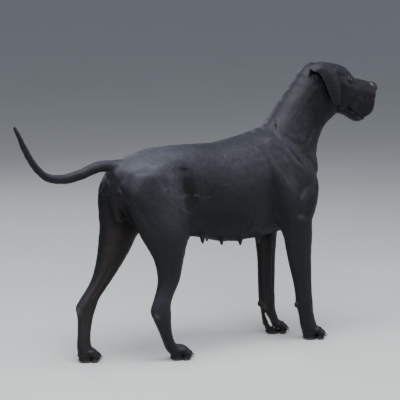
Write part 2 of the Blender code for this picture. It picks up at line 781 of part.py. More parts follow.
def join_teats(body):
    """Two rows of teats along the belly, each a small blunt cone rooted in it."""
    bm = bmesh.new()
    for side in (1, -1):
        for number in range(TEAT_PAIRS):
            share = number / (TEAT_PAIRS - 1)
            x = TEAT_FIRST_X + (TEAT_LAST_X - TEAT_FIRST_X) * share
            top = Vector((x, 0.046 * side, belly_height(x) + 0.030))
            bottom = Vector((x, 0.049 * side, belly_height(x) - TEAT_DROP))
            turn = (bottom - top).to_track_quat("Z", "Y").to_matrix().to_4x4()
            place = Matrix.Translation((top + bottom) / 2) @ turn
            bmesh.ops.create_cone(
                bm, cap_ends=True, segments=7, radius1=0.0095, radius2=0.0045,
                depth=(bottom - top).length, matrix=place,
            )
    teats = object_from(bm, "teats")
    boolean(body, teats, "UNION")
    remove(teats)


def belly_height(x):
    """The height of the under line between the groin and the brisket."""
    rise = max(0.170 - x, 0.0) / 0.275
    return 0.390 + 0.042 * rise**1.6


def part_forelegs(body):
    """Each foreleg leaves the chest by a slanting cut through its armpit, then parts at the carpus."""
    nodes = []
    for side, word, carpus in ((-1, "right", 0.165), (1, "left", 0.160)):
        outline = ((0.040, 0.375), (0.175, 0.545), (0.175, -0.100), (0.040, -0.100))
        cutter = wedge("armpit", [(y * side, z) for y, z in outline], 0.240, 0.520)
        away = Vector((0, 0.78 * side, -0.62)) * GAP
        leg = take(body, cutter, f"foreleg_{word}_upper", away)
        lower = split(leg, f"foreleg_{word}_lower", (0, 0, carpus), (0, 0, -1))
        nodes += [leg, lower]
    return nodes


def part_hindlegs(body):
    """Each hind leg leaves the trunk by a slanting cut from the groin, then parts at the hock."""
    nodes = []
    for side, word, knee in ((-1, "right", 0.225), (1, "left", 0.235)):
        outline = ((0.014, 0.418), (0.180, 0.680), (0.180, -0.100), (0.014, -0.100))
        cutter = wedge("groin", [(y * side, z) for y, z in outline], -0.560, -0.095)
        away = Vector((-1.0, 0.84 * side, -0.54)) * GAP
        leg = take(body, cutter, f"hindleg_{word}_upper", away)
        lower = split(leg, f"hindleg_{word}_lower", (0, 0, knee), (0, 0, -1))
        nodes += [leg, lower]
    return nodes


def part_body():
    body = whole_body()
    front = split(body, "neck", (0.255, 0, 0.808), (0.46, 0, 0.79))
    spare = split(front, "spare_head", HEAD_CUT, HEAD_CUT_NORMAL)
    remove(spare)
    root = block("tail_root", ((TAIL_CUTS[0], 0.60), (TAIL_CUTS[0], 0.80), (-0.60, 0.80), (-0.60, 0.60)),
                 -0.10, 0.10)
    boolean(body, root, "DIFFERENCE")
    remove(root)
    return [body, front, *part_forelegs(body), *part_hindlegs(body)]


def part_tail():
    bm = bmesh.new()
    tail_loft(bm)
    rest = object_from(bm, "tail_rest")
    base = split(rest, "tail_base", (TAIL_CUTS[0] - GAP, 0, 0.70), (-1, 0, 0))
    remove(rest)
    middle = split(base, "tail_middle", (TAIL_CUTS[1], 0, 0.67), (-1, 0, -0.15))
    tip = split(middle, "tail_tip", (TAIL_CUTS[2], 0, 0.69), (-0.75, 0, 0.66))
    return [base, middle, tip]


def paw_cut(paw):
    """Where the paw parts from its leg: a plane at the foot of the pastern."""
    return (paw.x, paw.y, 0.066)


def part_paw(paw, legs):
    bm = bmesh.new()
    paw_forms(bm, paw)
    foot = fuse(bm, paw.name, PAW_VOXEL, 3, PAW_FACES)
    leg_name = paw.name.replace("paw", "leg") + "_lower"
    leg = next(o for o in legs if o.name == leg_name)
    spare = split(leg, "spare_foot", paw_cut(paw), (0, 0, -1))
    remove(spare)
    top = split(foot, "spare_leg", paw_cut(paw), (0, 0, 1))
    remove(top)
    foot.data.transform(Matrix.Translation((0, 0, -GAP)))
    sole = split(foot, "spare_sole", (0, 0, 0), (0, 0, -1))
    remove(sole)
    nodes = [foot]
    for number, tip, _ in toes(paw):
        yaw = (tip.y - paw.y) * 4
        horn = claw(f"claw_{paw.name}_{number}", tip, 0.0185, yaw)
        sheath = swollen(horn, GAP)
        boolean(foot, sheath, "DIFFERENCE")
        remove(sheath)
        nodes.append(horn)
    return nodes


def part_head(neck):
    skull = head()
    face = HEAD_CUT + HEAD_CUT_NORMAL * GAP
    neck_side = split(skull, "spare_neck", face, -HEAD_CUT_NORMAL)
    remove(neck_side)
    nodes = [skull]
    leather = nose()
    fat = swollen(leather, GAP)
    boolean(skull, fat, "DIFFERENCE")
    remove(fat)
    nodes.append(leather)
    grown = [swollen(skull, GAP), swollen(neck, GAP)]
    for side, word in ((1, "left"), (-1, "right")):
        flap = ear(f"ear_{word}", side)
        for fat in grown:
            boolean(flap, fat, "DIFFERENCE")
        nodes.append(flap)
    for fat in grown:
        remove(fat)
    for side, word in ((1, "left"), (-1, "right")):
        socket = ball("socket", eye_centre(side), EYE_RADIUS + GAP, 20)
        for cutter in (lid_opening(side), socket, mouth_groove(side)):
            boolean(skull, cutter, "DIFFERENCE")
            remove(cutter)
        nodes.append(ball(f"eye_{word}", eye_centre(side), EYE_RADIUS, 16))
    return nodes


def material(look):
    name, colour, roughness = look
    made = bpy.data.materials.get(name)
    if made is None:
        made = bpy.data.materials.new(name)
        made.use_nodes = True
        shader = made.node_tree.nodes["Principled BSDF"]
        shader.inputs["Base Color"].default_value = (*colour, 1)
        shader.inputs["Roughness"].default_value = roughness
        shader.inputs["Metallic"].default_value = 0.0
    return made


def finish(nodes):
    """Gives each node its material, shades it smooth and sets the dog over the origin."""
    looks = {"nose": NOSE_LEATHER, "eye": EYE_BROWN, "claw": CLAW_HORN}
    for node in nodes:
        look = looks.get(node.name.split("_")[0], BLACK_COAT)
        node.data.materials.clear()
        node.data.materials.append(material(look))
        node.data.transform(Matrix.Translation((-MID_X, 0, 0)))
        node.data.shade_smooth()


def build():
    for old in list(bpy.data.objects):
        bpy.data.objects.remove(old)
    nodes = part_body()
    nodes += part_tail()
    for paw in paws():
        nodes += part_paw(paw, nodes)
    nodes += part_head(next(o for o in nodes if o.name == "neck"))
    finish(nodes)


build()
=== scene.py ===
"""The great dane bitch in her coat: one skin over the solids, with eyes, nose, claws and short fur.

She is drawn as in the solids' source, with +X forward and all sizes in metres, then set over the origin.
"""

import math
from collections import namedtuple

import bmesh
import bpy
import numpy as np
from mathutils import Matrix, Vector


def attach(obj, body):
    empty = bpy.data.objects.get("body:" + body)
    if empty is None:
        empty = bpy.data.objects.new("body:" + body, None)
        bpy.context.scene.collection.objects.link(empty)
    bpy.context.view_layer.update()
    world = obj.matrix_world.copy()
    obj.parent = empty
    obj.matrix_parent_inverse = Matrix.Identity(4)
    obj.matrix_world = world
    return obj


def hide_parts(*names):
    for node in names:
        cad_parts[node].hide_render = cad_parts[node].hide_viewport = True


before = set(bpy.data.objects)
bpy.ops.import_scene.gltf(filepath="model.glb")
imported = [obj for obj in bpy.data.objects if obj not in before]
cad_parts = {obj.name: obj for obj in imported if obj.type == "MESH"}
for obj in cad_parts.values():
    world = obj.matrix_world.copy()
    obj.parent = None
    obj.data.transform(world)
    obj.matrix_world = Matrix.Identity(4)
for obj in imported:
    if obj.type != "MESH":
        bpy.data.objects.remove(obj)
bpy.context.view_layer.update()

# Driving dimensions
MID_X = 0.010
SKIN_VOXEL = 0.0032
HEAD_VOXEL = 0.0016
PAW_VOXEL = 0.0016
COAT_DEPTH = 0.0010  # how far the skin lies inside the solids
EYE_RADIUS = 0.0145
LID_THICK = 0.0016
EAR_THICK = 0.0038
TEAT_PAIRS = 5
TEAT_FIRST_X = -0.103
TEAT_LAST_X = 0.226
TEAT_DROP = 0.012
HEAD_CUT = Vector((0.417, 0, 0.995))  # where the fine skin of the head is sewn to that of the neck
HEAD_CUT_NORMAL = Vector((0.806, 0, 0.592)).normalized()
HEAD_PIVOT = Vector((0.500, 0, 0))
HEAD_TURN = math.radians(-13)
HEAD_LENGTH = 0.8876
PAW_CUT = 0.068
EOS = 1e-9

Section = namedtuple("Section", "top under width y egg power", defaults=(0.0, 0.0, 2.0))

# Shapes


def blend(a, b, c, d, t):
    """The smooth curve through b and c at t, as a and d lead into and out of them."""
    return 0.5 * (
        2 * b + (c - a) * t + (2 * a - 5 * b + 4 * c - d) * t**2 + (3 * b - a - 3 * c + d) * t**3
    )


def flat_numbers(section):
    return (*section.top, *section.under, section.width, section.y, section.egg, section.power)


def smooth_sections(sections, steps):
    """The sections with steps - 1 more between each two, on smooth curves."""
    rows = [flat_numbers(s) for s in sections]
    rows = [rows[0], *rows, rows[-1]]
    out = []
    for i in range(1, len(rows) - 2):
        for step in range(steps):
            t = step / steps
            out.append([blend(*four, t) for four in zip(*rows[i - 1 : i + 3])])
    out.append(list(rows[-2]))
    return out


def ring(row, sides, shrink=1.0, push=Vector()):
    """The points round one section: a superellipse, wider above its middle where egg is above 0."""
    tx, tz, ux, uz, width, y, egg, power = row
    middle = Vector(((tx + ux) / 2, y, (tz + uz) / 2)) + push
    half = Vector(((tx - ux) / 2, 0, (tz - uz) / 2)) * shrink
    points = []
    for i in range(sides):
        angle = 2 * math.pi * i / sides
        up, out = math.cos(angle), math.sin(angle)
        up = math.copysign(abs(up) ** (2 / power), up)
        out = math.copysign(abs(out) ** (2 / power), out)
        side = Vector((0, out * width * shrink * (1 + egg * up), 0))
        points.append(middle + half * up + side)
    return points


def middle_of(row):
    return Vector(((row[0] + row[2]) / 2, row[5], (row[1] + row[3]) / 2))


def cap_rings(row, inner, length, sides):
    """Rings that round off an end, and the pole beyond them."""
    away = (middle_of(row) - middle_of(inner)).normalized() * length
    rings = []
    for degrees in (28, 56, 76):
        turn = math.radians(degrees)
        rings.append(ring(row, sides, math.cos(turn), away * math.sin(turn)))
    return rings, middle_of(row) + away


def loft(bm, sections, caps, sides=24, steps=3):
    """A closed skin through the sections, with rounded ends of the lengths in caps."""
    rows = smooth_sections(sections, steps)
    first, first_pole = cap_rings(rows[0], rows[1], caps[0], sides)
    last, last_pole = cap_rings(rows[-1], rows[-2], caps[1], sides)
    rings = [*reversed(first), *(ring(r, sides) for r in rows), *last]
    rings = [[bm.verts.new(p) for p in points] for points in rings]
    faces = []
    for low, high in zip(rings, rings[1:]):
        for i in range(sides):
            j = (i + 1) % sides
            faces.append(bm.faces.new((low[i], low[j], high[j], high[i])))
    for end, pole in ((rings[0], first_pole), (rings[-1], last_pole)):
        tip = bm.verts.new(pole)
        for i in range(sides):
            faces.append(bm.faces.new((end[i], end[(i + 1) % sides], tip)))
    bmesh.ops.recalc_face_normals(bm, faces=faces)


def muscle(bm, start, end, thick, wide, side=1):
    """An egg-shaped muscle between two points: thick is half its reach along Y, wide half its other."""
    a = Vector((start[0], start[1] * side, start[2]))
    b = Vector((end[0], end[1] * side, end[2]))
    along = (b - a).normalized()
    across = (Vector((0, 1, 0)) - along * along.y).normalized()
    third = along.cross(across)
    turn = Matrix((along, across, third)).transposed().to_4x4()
    size = Matrix.Diagonal(((b - a).length / 2, thick, wide, 1))
    place = Matrix.Translation((a + b) / 2) @ turn @ size
    bmesh.ops.create_uvsphere(bm, u_segments=16, v_segments=10, radius=1, matrix=place)


def object_from(bm, name):
    mesh = bpy.data.meshes.new(name)
    bm.to_mesh(mesh)
    bm.free()
    piece = bpy.data.objects.new(name, mesh)
    bpy.context.scene.collection.objects.link(piece)
    return piece


def remove(piece):
    mesh = piece.data
    bpy.data.objects.remove(piece)
    bpy.data.meshes.remove(mesh)


def bake(piece):
    """Applies the piece's modifiers."""
    graph = bpy.context.evaluated_depsgraph_get()
    mesh = bpy.data.meshes.new_from_object(piece.evaluated_get(graph), depsgraph=graph)
    old = piece.data
    piece.modifiers.clear()
    piece.data = mesh
    bpy.data.meshes.remove(old)


# The trunk and the neck


def trunk_forms(bm):
    loft(
        bm,
        [
            Section((-0.366, 0.695), (-0.366, 0.625), 0.040),
            Section((-0.335, 0.717), (-0.340, 0.560), 0.078),
            Section((-0.285, 0.736), (-0.285, 0.500), 0.104, egg=0.05),
            Section((-0.210, 0.752), (-0.200, 0.455), 0.113, egg=0.10),
            Section((-0.120, 0.757), (-0.110, 0.432), 0.110, egg=0.10),
            Section((-0.030, 0.757), (-0.020, 0.420), 0.108, egg=0.05),
            Section((0.060, 0.756), (0.060, 0.399), 0.121, egg=0.05),
            Section((0.150, 0.769), (0.140, 0.390), 0.130, egg=0.10),
            Section((0.215, 0.783), (0.215, 0.394), 0.128, egg=0.10),
            Section((0.300, 0.800), (0.290, 0.400), 0.120, egg=0.05),
            Section((0.370, 0.760), (0.360, 0.415), 0.108),
            Section((0.430, 0.700), (0.420, 0.455), 0.085),
        ],
        caps=(0.020, 0.045),
        sides=32,
    )


def neck_forms(bm):
    loft(
        bm,
        [
            Section((0.236, 0.770), (0.476, 0.575), 0.098),
            Section((0.284, 0.806), (0.504, 0.664), 0.086),
            Section((0.320, 0.844), (0.512, 0.712), 0.077),
            Section((0.364, 0.900), (0.533, 0.762), 0.070),
            Section((0.408, 0.954), (0.554, 0.792), 0.065, y=-0.003),
            Section((0.452, 1.007), (0.583, 0.815), 0.061, y=-0.007),
            Section((0.492, 1.029), (0.612, 0.835), 0.057, y=-0.010),
        ],
        caps=(0.030, 0.020),
        sides=28,
    )


def shoulder_forms(bm, side):
    muscle(bm, (0.235, 0.066, 0.765), (0.452, 0.094, 0.560), 0.036, 0.060, side)
    muscle(bm, (0.290, 0.090, 0.690), (0.332, 0.094, 0.400), 0.036, 0.062, side)
    muscle(bm, (0.440, 0.082, 0.640), (0.370, 0.088, 0.400), 0.040, 0.052, side)
    muscle(bm, (0.432, 0.030, 0.640), (0.415, 0.050, 0.420), 0.045, 0.045, side)
    muscle(bm, (0.430, 0.042, 0.740), (0.452, 0.066, 0.590), 0.034, 0.040, side)


def rump_forms(bm, side):
    muscle(bm, (-0.140, 0.066, 0.705), (-0.376, 0.048, 0.600), 0.056, 0.058, side)
    muscle(bm, (-0.140, 0.086, 0.690), (-0.155, 0.092, 0.430), 0.030, 0.040, side)


# The legs, section by section from the top down


def foreleg_sections(side):
    if side < 0:
        return [
            Section((0.432, 0.460), (0.312, 0.460), 0.040, y=-0.088),
            Section((0.436, 0.403), (0.314, 0.410), 0.038, y=-0.087),
            Section((0.436, 0.369), (0.322, 0.369), 0.034, y=-0.086),
            Section((0.435, 0.311), (0.336, 0.311), 0.030, y=-0.085),
            Section((0.439, 0.234), (0.359, 0.234), 0.026, y=-0.083),
            Section((0.442, 0.180), (0.373, 0.176), 0.026, y=-0.082),
            Section((0.446, 0.142), (0.378, 0.138), 0.029, y=-0.081),
            Section((0.450, 0.104), (0.391, 0.098), 0.026, y=-0.081),
            Section((0.460, 0.070), (0.399, 0.062), 0.028, y=-0.080),
            Section((0.470, 0.045), (0.408, 0.035), 0.032, y=-0.080),
        ]
    return [
        Section((0.405, 0.460), (0.298, 0.460), 0.040, y=0.084),
        Section((0.400, 0.403), (0.304, 0.403), 0.037, y=0.082),
        Section((0.394, 0.345), (0.312, 0.335), 0.032, y=0.080),
        Section((0.390, 0.288), (0.317, 0.288), 0.028, y=0.079),
        Section((0.388, 0.212), (0.318, 0.212), 0.026, y=0.077),
        Section((0.386, 0.170), (0.319, 0.170), 0.027, y=0.076),
        Section((0.386, 0.136), (0.322, 0.134), 0.029, y=0.075),
        Section((0.388, 0.100), (0.331, 0.092), 0.026, y=0.075),
        Section((0.398, 0.068), (0.336, 0.060), 0.028, y=0.074),
        Section((0.408, 0.045), (0.342, 0.035), 0.032, y=0.074),
    ]


def hindleg_sections(side):
    if side < 0:
        return [
            Section((-0.150, 0.660), (-0.345, 0.670), 0.046, y=-0.076),
            Section((-0.122, 0.600), (-0.366, 0.610), 0.050, y=-0.080),
            Section((-0.101, 0.530), (-0.341, 0.540), 0.052, y=-0.084),
            Section((-0.108, 0.470), (-0.313, 0.475), 0.050, y=-0.087),
            Section((-0.118, 0.430), (-0.282, 0.425), 0.047, y=-0.088),
            Section((-0.128, 0.390), (-0.254, 0.380), 0.042, y=-0.088),
            Section((-0.137, 0.345), (-0.237, 0.335), 0.036, y=-0.086),
            Section((-0.147, 0.290), (-0.232, 0.290), 0.029, y=-0.084),
            Section((-0.169, 0.242), (-0.241, 0.245), 0.025, y=-0.081),
            Section((-0.180, 0.205), (-0.253, 0.212), 0.024, y=-0.079),
            Section((-0.177, 0.170), (-0.258, 0.182), 0.024, y=-0.077),
            Section((-0.176, 0.142), (-0.243, 0.150), 0.023, y=-0.075),
            Section((-0.172, 0.108), (-0.223, 0.112), 0.021, y=-0.073),
            Section((-0.163, 0.075), (-0.206, 0.075), 0.021, y=-0.072),
            Section((-0.145, 0.052), (-0.193, 0.046), 0.025, y=-0.071),
            Section((-0.130, 0.038), (-0.180, 0.028), 0.029, y=-0.071),
        ]
    return [
        Section((-0.150, 0.660), (-0.345, 0.670), 0.046, y=0.076),
        Section((-0.134, 0.600), (-0.373, 0.610), 0.050, y=0.080),
        Section((-0.148, 0.530), (-0.371, 0.540), 0.052, y=0.084),
        Section((-0.182, 0.470), (-0.364, 0.475), 0.050, y=0.087),
        Section((-0.222, 0.429), (-0.367, 0.429), 0.048, y=0.088),
        Section((-0.246, 0.385), (-0.373, 0.378), 0.043, y=0.088),
        Section((-0.291, 0.325), (-0.388, 0.317), 0.035, y=0.087),
        Section((-0.331, 0.275), (-0.413, 0.268), 0.029, y=0.086),
        Section((-0.372, 0.226), (-0.448, 0.226), 0.025, y=0.085),
        Section((-0.389, 0.190), (-0.467, 0.196), 0.024, y=0.084),
        Section((-0.403, 0.154), (-0.461, 0.158), 0.023, y=0.083),
        Section((-0.413, 0.101), (-0.462, 0.103), 0.021, y=0.082),
        Section((-0.413, 0.068), (-0.465, 0.062), 0.023, y=0.081),
        Section((-0.405, 0.045), (-0.462, 0.035), 0.028, y=0.081),
    ]


def leg_loft(bm, sections):
    loft(bm, sections, caps=(0.030, 0.012), sides=22)


def elbow_forms(bm):
    muscle(bm, (0.330, -0.092, 0.455), (0.327, -0.090, 0.385), 0.026, 0.022)
    muscle(bm, (0.312, 0.088, 0.450), (0.312, 0.086, 0.380), 0.026, 0.022)


def stopper_forms(bm):
    """The small stopper pad behind each carpus."""
    muscle(bm, (0.380, -0.081, 0.152), (0.374, -0.081, 0.126), 0.010, 0.010)
    muscle(bm, (0.324, 0.075, 0.136), (0.321, 0.075, 0.108), 0.010, 0.010)


def perineum_forms(bm):
    """The anus under the tail's root, and the vulva below it."""
    muscle(bm, (-0.366, 0.0, 0.682), (-0.366, 0.0, 0.636), 0.020, 0.016)
    muscle(bm, (-0.352, 0.0, 0.660), (-0.352, 0.0, 0.540), 0.026, 0.024)
    muscle(bm, (-0.352, 0.0, 0.590), (-0.334, 0.0, 0.494), 0.017, 0.024)


# The paws

Paw = namedtuple("Paw", "name side x y reach wide sections")


def paws():
    """Each paw's name, side, the middle of its ball, how far its toes reach and half their spread."""
    return (
        Paw("forepaw_right", -1, 0.432, -0.080, 0.068, 0.033, foreleg_sections(-1)),
        Paw("forepaw_left", 1, 0.372, 0.074, 0.068, 0.033, foreleg_sections(1)),
        Paw("hindpaw_right", -1, -0.153, -0.071, 0.062, 0.029, hindleg_sections(-1)),
        Paw("hindpaw_left", 1, -0.441, 0.081, 0.062, 0.029, hindleg_sections(1)),
    )


def toes(paw):
    """The four toes of a paw, from the inner to the outer: where each tip is, and how long it is."""
    for number in range(4):
        spread = (number - 1.5) / 1.5
        middle = 1 - abs(spread)
        tip_x = paw.x + paw.reach * (0.74 + 0.42 * middle)
        yield number + 1, Vector((tip_x, paw.y + spread * paw.wide, 0)), 0.044 + 0.020 * middle


def paw_forms(bm, paw):
    leg_loft(bm, paw.sections[-5:])
    muscle(bm, (paw.x - 0.019, paw.y, 0.011), (paw.x + 0.034, paw.y, 0.010), paw.wide * 0.85, 0.015)
    muscle(bm, (paw.x - 0.023, paw.y, 0.028), (paw.x + 0.034, paw.y, 0.022), paw.wide * 0.90, 0.015)
    muscle(bm, (paw.x - 0.022, paw.y, 0.040), (paw.x + 0.052, paw.y, 0.030), paw.wide, 0.022)
    for _, tip, length in toes(paw):
        root = (tip.x - length, paw.y + (tip.y - paw.y) * 0.72, 0.038)
        knuckle = (tip.x - 0.012, tip.y, 0.034)
        muscle(bm, root, knuckle, 0.0125, 0.0125)
        muscle(bm, (tip.x - 0.030, tip.y, 0.034), (tip.x + 0.002, tip.y, 0.012), 0.0118, 0.0125)
        muscle(bm, (tip.x - 0.030, tip.y, 0.008), (tip.x - 0.001, tip.y, 0.008), 0.0100, 0.0105)


def head_turn():
    return Matrix.Rotation(HEAD_TURN, 4, "Z")


def head_place():
    """From the head as it is drawn, straight and long, to how she carries it."""
    length = Matrix.Diagonal((HEAD_LENGTH, 1, 1, 1))
    return Matrix.Translation(HEAD_PIVOT) @ head_turn() @ length @ Matrix.Translation(-HEAD_PIVOT)


def as_drawn(points):
    """The points as they would lie on the head before it is turned and shortened."""
    turn = np.array(head_place().inverted())
    return points @ turn[:3, :3].T + turn[:3, 3]


def ahead_of_neck(points):
    """How far each point lies in front of the seam between neck and head."""
    return (points - np.array(HEAD_CUT)) @ np.array(HEAD_CUT_NORMAL)


def skull_forms(bm):
    loft(
        bm,
        [
            Section((0.508, 1.022), (0.575, 0.865), 0.057),
            Section((0.530, 1.027), (0.600, 0.852), 0.063, egg=0.10),
            Section((0.566, 1.026), (0.625, 0.842), 0.067, egg=0.12),
            Section((0.606, 1.019), (0.650, 0.836), 0.064, egg=0.12),
            Section((0.640, 1.009), (0.670, 0.836), 0.055, egg=0.06),
            Section((0.668, 0.989), (0.690, 0.838), 0.047),
            Section((0.690, 0.966), (0.705, 0.842), 0.044),
            Section((0.720, 0.958), (0.722, 0.846), 0.044),
            Section((0.752, 0.951), (0.748, 0.850), 0.042),
            Section((0.776, 0.942), (0.770, 0.858), 0.036),
        ],
        caps=(0.020, 0.018),
        sides=28,
    )


def jaw_forms(bm):
    """The lower jaw, whose lip shows a little below the flews."""
    loft(
        bm,
        [
            Section((0.600, 0.880), (0.612, 0.832), 0.034),
            Section((0.640, 0.870), (0.648, 0.824), 0.034),
            Section((0.675, 0.850), (0.682, 0.806), 0.030),
            Section((0.705, 0.838), (0.708, 0.797), 0.030),
            Section((0.732, 0.836), (0.732, 0.802), 0.029),
        ],
        caps=(0.015, 0.014),
        sides=18,
    )


def flew_forms(bm, side):
    """The hanging upper lip of one side, deepest a little behind the front of the muzzle."""
    muscle(bm, (0.760, 0.020, 0.925), (0.742, 0.026, 0.819), 0.018, 0.030, side)
    muscle(bm, (0.730, 0.028, 0.930), (0.722, 0.031, 0.812), 0.016, 0.037, side)
    muscle(bm, (0.696, 0.032, 0.920), (0.698, 0.032, 0.812), 0.015, 0.034, side)
    muscle(bm, (0.774, 0.010, 0.915), (0.761, 0.016, 0.842), 0.017, 0.018, side)


def cheek_forms(bm, side):
    muscle(bm, (0.584, 0.044, 0.965), (0.632, 0.042, 0.850), 0.020, 0.040, side)
    muscle(bm, (0.540, 0.040, 0.985), (0.640, 0.040, 0.978), 0.022, 0.026, side)
    muscle(bm, (0.600, 0.034, 0.992), (0.656, 0.031, 0.973), 0.014, 0.012, side)
    muscle(bm, (0.610, 0.050, 0.938), (0.690, 0.036, 0.926), 0.009, 0.013, side)


def ear_lobe(bm, side):
    """The small lobe at the foot of the ear's cup, behind the flap."""
    shift = LEFT_EAR_SHIFT if side > 0 else Vector()
    top = Vector((0.484, 0.058, 0.990)) + shift
    foot = Vector((0.498, 0.063, 0.950)) + shift
    muscle(bm, top, foot, 0.007, 0.011, side)


def eye_centre(side):
    return head_place() @ Vector((0.646, 0.0430 * side, 0.959))


def eye_forward(side):
    return head_turn() @ Vector((0.68, 0.73 * side, 0.05)).normalized()


LEFT_EAR_SHIFT = Vector((0.026, 0, -0.014))  # her left ear hangs further forward than the right

# The right ear from its root on the skull to its tip: its rear edge, its middle and its front edge
EAR_STOPS = (
    ((0.462, 0.048, 0.964), (0.508, 0.040, 1.002), (0.555, 0.052, 0.998)),
    ((0.458, 0.063, 1.004), (0.502, 0.065, 1.026), (0.556, 0.060, 1.012)),
    ((0.465, 0.079, 0.998), (0.509, 0.082, 1.010), (0.562, 0.068, 1.001)),
    ((0.492, 0.0815, 0.989), (0.529, 0.0845, 0.993), (0.574, 0.07, 0.991)),
    ((0.515, 0.080, 0.959), (0.540, 0.084, 0.968), (0.582, 0.0705, 0.967)),
    ((0.538, 0.075, 0.919), (0.564, 0.077, 0.918), (0.596, 0.071, 0.920)),
    ((0.563, 0.0725, 0.875), (0.578, 0.073, 0.868), (0.591, 0.071, 0.875)),
)


def ear_point(u, v, side):
    """A point of the ear's sheet: u runs from its root to its tip, v from its rear to its front edge."""
    place = u * (len(EAR_STOPS) - 1)
    i = min(int(place), len(EAR_STOPS) - 2)
    last = len(EAR_STOPS) - 1
    edges = []
    for line in range(3):
        four = [EAR_STOPS[min(max(k, 0), last)][line] for k in range(i - 1, i + 3)]
        edges.append(Vector([blend(*numbers, place - i) for numbers in zip(*four)]))
    rear, middle, front = edges
    bow = middle - (rear + front) / 2
    point = rear.lerp(front, v) + bow * 4 * v * (1 - v)
    point.y *= side
    if side > 0:
        point += LEFT_EAR_SHIFT
    return head_place() @ point


# The tail


def tail_sections():
    """The tail from its root to its tip: it leaves the croup level, then curves up."""
    return [
        Section((-0.330, 0.724), (-0.345, 0.668), 0.028),
        Section((-0.362, 0.723), (-0.368, 0.676), 0.025),
        Section((-0.395, 0.724), (-0.393, 0.683), 0.021),
        Section((-0.440, 0.719), (-0.432, 0.680), 0.018),
        Section((-0.500, 0.699), (-0.490, 0.662), 0.0165),
        Section((-0.560, 0.687), (-0.558, 0.653), 0.0155),
        Section((-0.618, 0.694), (-0.626, 0.667), 0.0145),
        Section((-0.660, 0.729), (-0.675, 0.709), 0.0135),
        Section((-0.694, 0.781), (-0.712, 0.769), 0.012),
        Section((-0.719, 0.827), (-0.733, 0.819), 0.0095),
        Section((-0.737, 0.857), (-0.747, 0.852), 0.0050),
    ]



# The skin


def fuse_fine(bm, name, voxel, smooth, softness, regain):
    """Joins the forms into one fine skin, softened by softness, a share for every point."""
    piece = object_from(bm, name)
    remesh = piece.modifiers.new("fuse", "REMESH")
    remesh.mode = "VOXEL"
    remesh.voxel_size = voxel
    bake(piece)
    keep_largest(piece)
    soften(piece, softness(points_of(piece)), smooth, 40)
    swell = piece.modifiers.new("regain", "DISPLACE")
    swell.strength = regain
    swell.mid_level = 0
    bake(piece)
    return piece


def soften(piece, shares, turns, grades=20):
    """Smooths the piece by a share for every point, rounded to the given number of grades."""
    smooth = piece.modifiers.new("soften", "SMOOTH")
    smooth.factor = 0.5
    smooth.iterations = turns
    group = piece.vertex_groups.new(name="softness")
    steps = np.round(shares * grades).astype(int)
    for step in np.unique(steps[steps > 0]):
        group.add(np.flatnonzero(steps == step).tolist(), float(step) / grades, "REPLACE")
    smooth.vertex_group = group.name
    bake(piece)
    piece.vertex_groups.clear()


def keep_largest(piece):
    """Keeps the piece's largest closed surface."""
    mesh = piece.data
    ends = np.empty(2 * len(mesh.edges), np.int32)
    mesh.edges.foreach_get("vertices", ends)
    a, b = ends.reshape(-1, 2).T
    label = np.arange(len(mesh.vertices))
    while True:
        low = np.minimum(label[a], label[b])
        grown = label.copy()
        np.minimum.at(grown, a, low)
        np.minimum.at(grown, b, low)
        grown = grown[grown]
        if (grown == label).all():
            break
        label = grown
    names, counts = np.unique(label, return_counts=True)
    if len(names) == 1:
        return
    spare = np.flatnonzero(label != names[counts.argmax()])
    bm = bmesh.new()
    bm.from_mesh(mesh)
    bm.verts.ensure_lookup_table()
    bmesh.ops.delete(bm, geom=[bm.verts[i] for i in spare], context="VERTS")
    bm.to_mesh(mesh)
    bm.free()


def points_of(piece):
    flat = np.empty(3 * len(piece.data.vertices), np.float32)
    piece.data.vertices.foreach_get("co", flat)
    return flat.reshape(-1, 3).astype(float)


def normals_of(piece):
    flat = np.empty(3 * len(piece.data.vertices), np.float32)
    piece.data.vertex_normals.foreach_get("vector", flat)
    return flat.reshape(-1, 3).astype(float)


def set_points(piece, points):
    piece.data.vertices.foreach_set("co", np.ascontiguousarray(points, np.float32).ravel())
    piece.data.update()


def step_between(value, low, high):
    """0 below low, 1 above high, and smooth between them."""
    t = np.clip((value - low) / (high - low), 0, 1)
    return t * t * (3 - 2 * t)


def to_line(points, line):
    """How far each point is from a line of several points, and how far along it the nearest point is."""
    line = np.asarray([tuple(p) for p in line], float)
    best = np.full(len(points), 9.0)
    place = np.zeros(len(points))
    for k, (a, b) in enumerate(zip(line, line[1:])):
        along = b - a
        t = np.clip((points - a) @ along / (along @ along + EOS), 0, 1)
        far = np.linalg.norm(points - (a + t[:, None] * along), axis=1)
        near = far < best
        best[near] = far[near]
        place[near] = k + t[near]
    return best, place / (len(line) - 1)


def teat_tops(side):
    for number in range(TEAT_PAIRS):
        x = TEAT_FIRST_X + (TEAT_LAST_X - TEAT_FIRST_X) * number / (TEAT_PAIRS - 1)
        yield Vector((x, 0.046 * side, belly_height(x)))


def teat_drop(x):
    """The front teats hang lowest."""
    return TEAT_DROP * (0.05 if x < -0.03 else 0.35)


def belly_height(x):
    """The height of the under line between the groin and the brisket."""
    rise = max(0.170 - x, 0.0) / 0.275
    return 0.390 + 0.042 * rise**1.6


def join_teats(bm):
    for side in (1, -1):
        for top in teat_tops(side):
            start = top + Vector((0, 0, 0.020))
            end = top + Vector((0, 0.002 * side, -teat_drop(top.x)))
            turn = (end - start).to_track_quat("Z", "Y").to_matrix().to_4x4()
            bmesh.ops.create_cone(
                bm, cap_ends=True, segments=16, radius1=0.0115, radius2=0.0036,
                depth=(end - start).length, matrix=Matrix.Translation((start + end) / 2) @ turn,
            )


